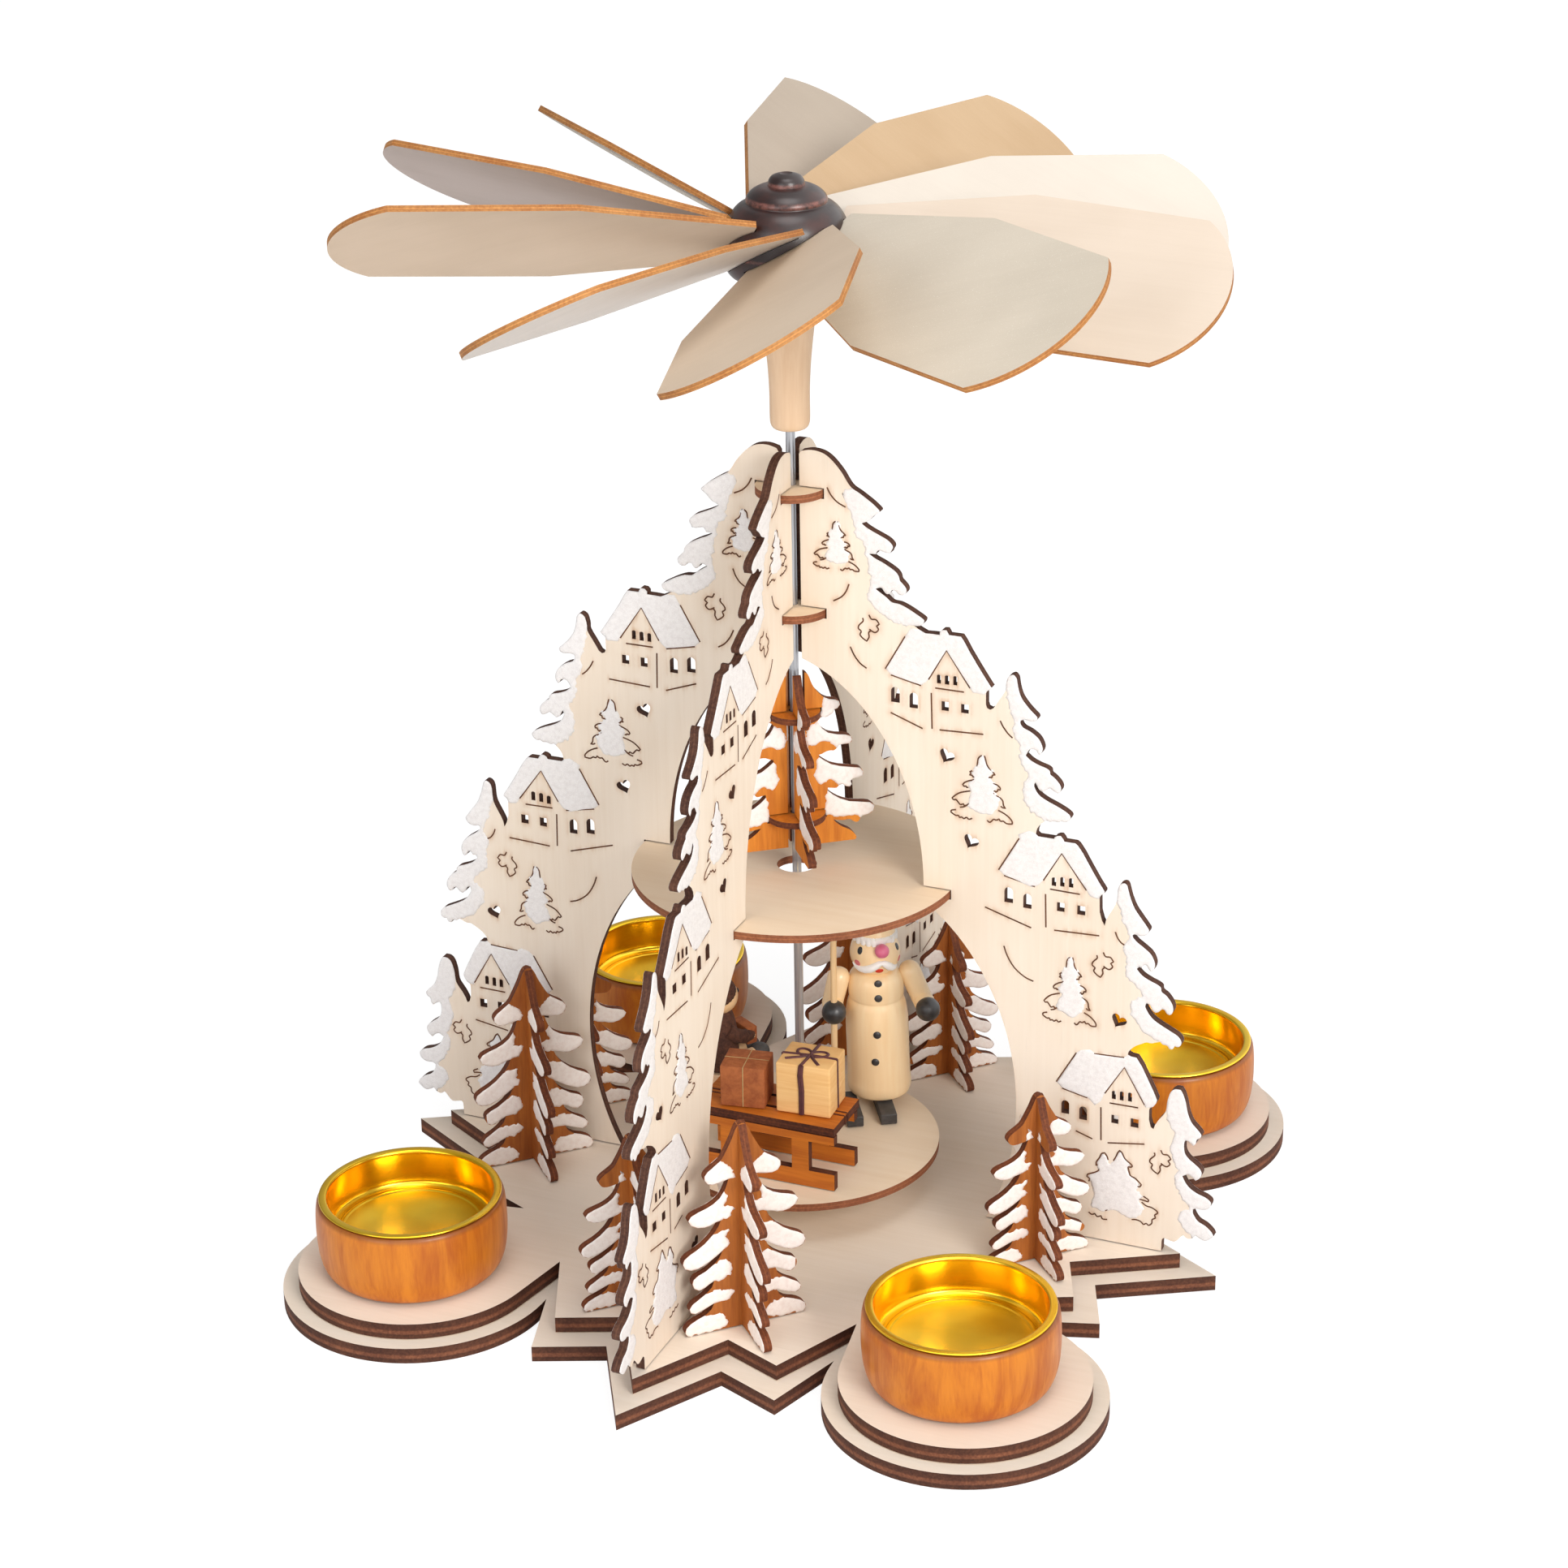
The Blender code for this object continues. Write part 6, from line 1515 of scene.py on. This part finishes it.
addPiece("manBody", manBody(), ("figure", "black"), "rotor", ("man_body",), manPlace)
addPiece("manHead", manHead(), ("figure", "pink", "black", "rose", "white", "red"), "rotor", ("man_head",),
         manPlace)
for name in ("Left", "Right"):
    addPiece("manArm" + name, manArm(name), ("figure", "black"), "rotor", ("man_arm_" + name.lower(),),
             manPlace)
for side, name in ((1.0, "Left"), (-1.0, "Right")):
    boot = merged("boot", [(block((14.2, 4.2, 2.8), (7.1, -3.2 + 4.3 * side, 1.4), 0.25), 0)])
    addPiece("manBoot" + name, boot, ("boot",), "rotor", ("man_boot_" + name.lower(),), manPlace)
staffBar = spun([(0.0, 0.0), (0.7, 0.0), (0.8, 0.2), (0.82, 28.0), (0.78, 55.7), (0.5, 56.0), (0.0, 56.0)], 28)
staffBar.transform(Matrix.Translation((*man["armRight"][2][:2], 0.0)))  # it stands in the right hand
addPiece("manStaff", merged("staff", [(staffBar, 0)]), ("staff",), "rotor", ("man_staff",),
         manPlace)
print("gift-bringer")


# ---- sled and gifts

sled = {
    "place": (0.3, -16.0, 21.2, 0.5), "length": 37.0, "height": 17.2, "width": 16.6, "frames": 6.65,
    "frame": 2.1, "runner": 4.4, "leg": 4.5, "rail": 2.2, "deck": 2.2, "shift": 0.6, "slot": 1.1,
    "tenons": 9.5, "tenonHalf": 2.1, "jointLine": 0.7,
}
sledPlace = spot(*sled["place"])


def sledSide():
    half, legTop = sled["length"] / 2, sled["height"] - sled["deck"] - 0.3
    rail, outer = legTop - sled["rail"], sled["length"] / 2 - sled["leg"] * 1.5
    line = [(-half, 0.0), (half, 0.0), (half, sled["runner"]), (outer, sled["runner"]), (outer, rail), (half, rail),
            (half, legTop), (-half, legTop), (-half, rail), (-outer, rail), (-outer, sled["runner"]),
            (-half, sled["runner"])]
    inner = outer - sled["leg"]
    hole = [(-inner, sled["runner"]), (inner, sled["runner"]), (inner, rail), (-inner, rail)]
    return [line, hole]


for side, name in ((-1.0, "Front"), (1.0, "Back")):
    mesh = sheetMesh("sledFrame" + name, sledSide(), sled["frame"])
    mesh.transform(Matrix.Translation((0.0, sled["frames"] * side * mm, 0.0)) @ upright)
    addPiece("sledFrame" + name, mesh, ("sledFace", "sledEdge"), "rotor", ("sled_side_" + name.lower(),),
             sledPlace)


def rectangle(x, low, high):
    return [(-x, low), (x, low), (x, high), (-x, high)]


half, depth, top = sled["length"] / 2, sled["width"] / 2, sled["height"]
deckLoops = [rectangle(half, -depth, depth)]
for side in (-1.0, 1.0):  # the deck is three boards with two gaps
    centre = sled["width"] / 6.0 * side
    deckLoops.append(rectangle(half - sled["leg"], centre - sled["slot"] / 2, centre + sled["slot"] / 2))
deck = sheetMesh("sledDeck", deckLoops, sled["deck"])
deck.transform(spot(0.0, sled["shift"], top - sled["deck"] / 2))
addPiece("sledDeck", deck, ("sledFace", "sledEdge"), "rotor", ("sled_deck",), sledPlace)
score = []
for side in (-1.0, 1.0):
    centre = sled["width"] / 6.0 * side + sled["shift"]
    for end in (-1.0, 1.0):
        score.append([(end * (half - sled["leg"] - 0.2), centre, top), (end * half, centre, top)])
        score.append([(end * half, centre, top), (end * half, centre, top - sled["deck"])])
    for leg in (-sled["tenons"], sled["tenons"]):  # the frames' tenons, three lines close together
        for step in (-0.7, -0.2, 0.3):
            across = sled["frames"] * side + step
            score.append([(leg - sled["tenonHalf"], across, top), (leg + sled["tenonHalf"], across, top)])
joints = drawnLines("deckJoints", score, sled["jointLine"], 0.3, "sledEdge")
joints.transform(sledPlace)
addPiece("sledJoints", joints, (), "rotor")

gifts = {  # size, place, turn
    "natural": ((14.0, 12.0, 13.5), (8.9, -14.1), 4.0),
    "brown": ((11.2, 10.0, 10.9), (-7.0, -16.9), 10.0),
}
giftValues = {"deckTop": 38.7, "proud": 0.02, "bow": ((150.0, 4.2, 1.5), (20.0, 4.4, 1.4))}


def giftMesh(size, lines, rounding):
    # a block with its ribbon drawn over it; each line has its points and its half width
    parts = [(block(size, (0.0, 0.0, size[2] / 2), rounding), 0)]
    for points, wide in lines:
        parts.append((tube(points, [wide] * len(points), 10), 1))
    return merged("gift", parts)


def bowLoop(turn, reach, wide, top):
    cos, sin = math.cos(math.radians(turn)), math.sin(math.radians(turn))
    made = []
    for step in range(21):
        a = math.tau * step / 20
        out, aside = reach * 0.5 * (1 - math.cos(a)), wide * math.sin(a)
        made.append((out * cos - aside * sin, out * sin + aside * cos, top))
    return made


def ribbonLines():
    x, y, z = gifts["natural"][0][0] / 2, gifts["natural"][0][1] / 2, gifts["natural"][0][2]
    proud = giftValues["proud"]
    front, back, left, right, top = -y - proud, y + proud, -x - proud, x + proud, z + proud
    return [
        ([(-0.6, front, 0.2), (-0.6, front, z * 0.5), (-0.9, front, z * 0.8), (-0.6, front, z)], 0.5),
        ([(-0.2, front, 0.2), (-0.1, front, z * 0.5), (-0.4, front, z * 0.8), (-0.2, front, z)], 0.5),
        ([(-0.5, -y, top), (0.0, 0.0, top), (0.4, y, top)], 0.42),
        ([(0.4, back, top), (0.4, back, 0.3)], 0.3),
        ([(-x, -0.6, top), (0.0, 0.0, top), (x, -0.3, top)], 0.36),
        ([(right, -0.3, z), (right, -0.1, 0.3)], 0.3),
        ([(left, -0.6, z), (left, -0.4, 0.3)], 0.3),
        ([(0.0, 0.0, top), (1.9, -2.6, top), (3.6, -4.6, top)], 0.42),
        ([(0.0, 0.0, top), (-1.9, -1.6, top), (-5.4, -3.4, top)], 0.42),
        *[(bowLoop(*values, top), 0.38) for values in giftValues["bow"]],
    ]


def stringLines():
    x, y, z = gifts["brown"][0][0] / 2, gifts["brown"][0][1] / 2, gifts["brown"][0][2]
    return [([(0.2, -y, z), (0.2, y, z)], 0.12), ([(0.2, -y, z), (0.1, -y, 0.2)], 0.14),
            ([(-x, 0.2, z), (x, 0.1, z)], 0.1)]


natural = giftMesh(gifts["natural"][0], ribbonLines(), 0.45)
brown = giftMesh(gifts["brown"][0], stringLines(), 0.3)
for name, mesh, colours, slot in (("natural", natural, ("giftWood", "ribbon"), "natural_wood"),
                                  ("brown", brown, ("giftBrown", "string"), "gift_brown_stain")):
    _, (x, y), turn = gifts[name]
    addPiece("gift" + name.capitalize(), mesh, colours, "rotor", ("gift_" + name,),
             spot(x, y, giftValues["deckTop"], turn))
print("sled and gifts")


# ---- the seated child

child = {
    "place": (-26.2, 9.5, 21.2, 58.0), "seat": (5.0, 9.5), "sit": 9.8, "rise": 16.5, "head": (4.8, 20.1),
    "bodyLine": ((3.4, 0.0), (4.4, 0.4), (4.8, 3.0), (4.6, 8.0), (4.0, 13.0), (3.0, 16.0), (2.0, 16.5)),
    # one limb, measured from the seat: its points, then its radius at each
    "leg": (((0.0, 2.3, 1.8), (5.0, 2.3, 1.8), (10.5, 2.3, 1.8)), (1.8, 1.8, 1.7)),
    "arm": (((0.0, 3.6, 11.5), (2.2, 4.4, 9.7), (5.0, 3.6, 8.4), (7.5, 2.3, 7.9)), (1.9, 1.9, 1.8, 1.7)),
}
childPlace = spot(*child["place"])


def childLimb(limb, side):
    points, radii = child[limb]
    return tube([(x, y * side, child["sit"] + z) for x, y, z in points], radii, 20)


def childFigure():
    low, (head, headRise) = child["sit"], child["head"]
    bodyLine = smoothLine([(radius, low + height) for radius, height in child["bodyLine"]], 4, 120.0)
    parts = [(spun([(0.0, low), *bodyLine, (0.0, low + child["rise"])], 48), 0),
             (ball((0, 0, low + headRise), (head,) * 3), 1),
             (block((3.0, 7.2, 4.6), (7.5, 0.0, low + 7.9), 0.25), 2)]  # the parcel on its lap
    for side in (-1.0, 1.0):
        parts += [(childLimb("leg", side), 1), (ball((10.5, 2.3 * side, low + 1.9), (2.7, 2.4, 2.4)), 3),
                  (childLimb("arm", side), 0), (ball((7.4, 2.6 * side, low + 7.9), (1.5, 1.5, 1.5), 20), 1),
                  (ball((4.55, 1.6 * side, low + 20.9), (0.3, 0.5, 0.6), 16), 3)]
    parts.append((ball((-0.5, 0.0, low + 21.0), (4.9, 4.95, 4.7)), 0))
    return merged("child", parts)


wide, tall = child["seat"]
seat = [(0.0, 0.0), (wide - 0.2, 0.0), (wide, 0.3), (wide, tall - 0.3), (wide - 0.3, tall), (0.0, tall)]
addPiece("childSeat", merged("seat", [(spun(seat, 48), 0)]), ("sleeve",), "rotor", ("child_seat",),
         childPlace)
addPiece("childFigure", childFigure(), ("coat", "skin", "giftBrown", "boot"), "rotor", ("child_figure",),
         childPlace)
print("child")
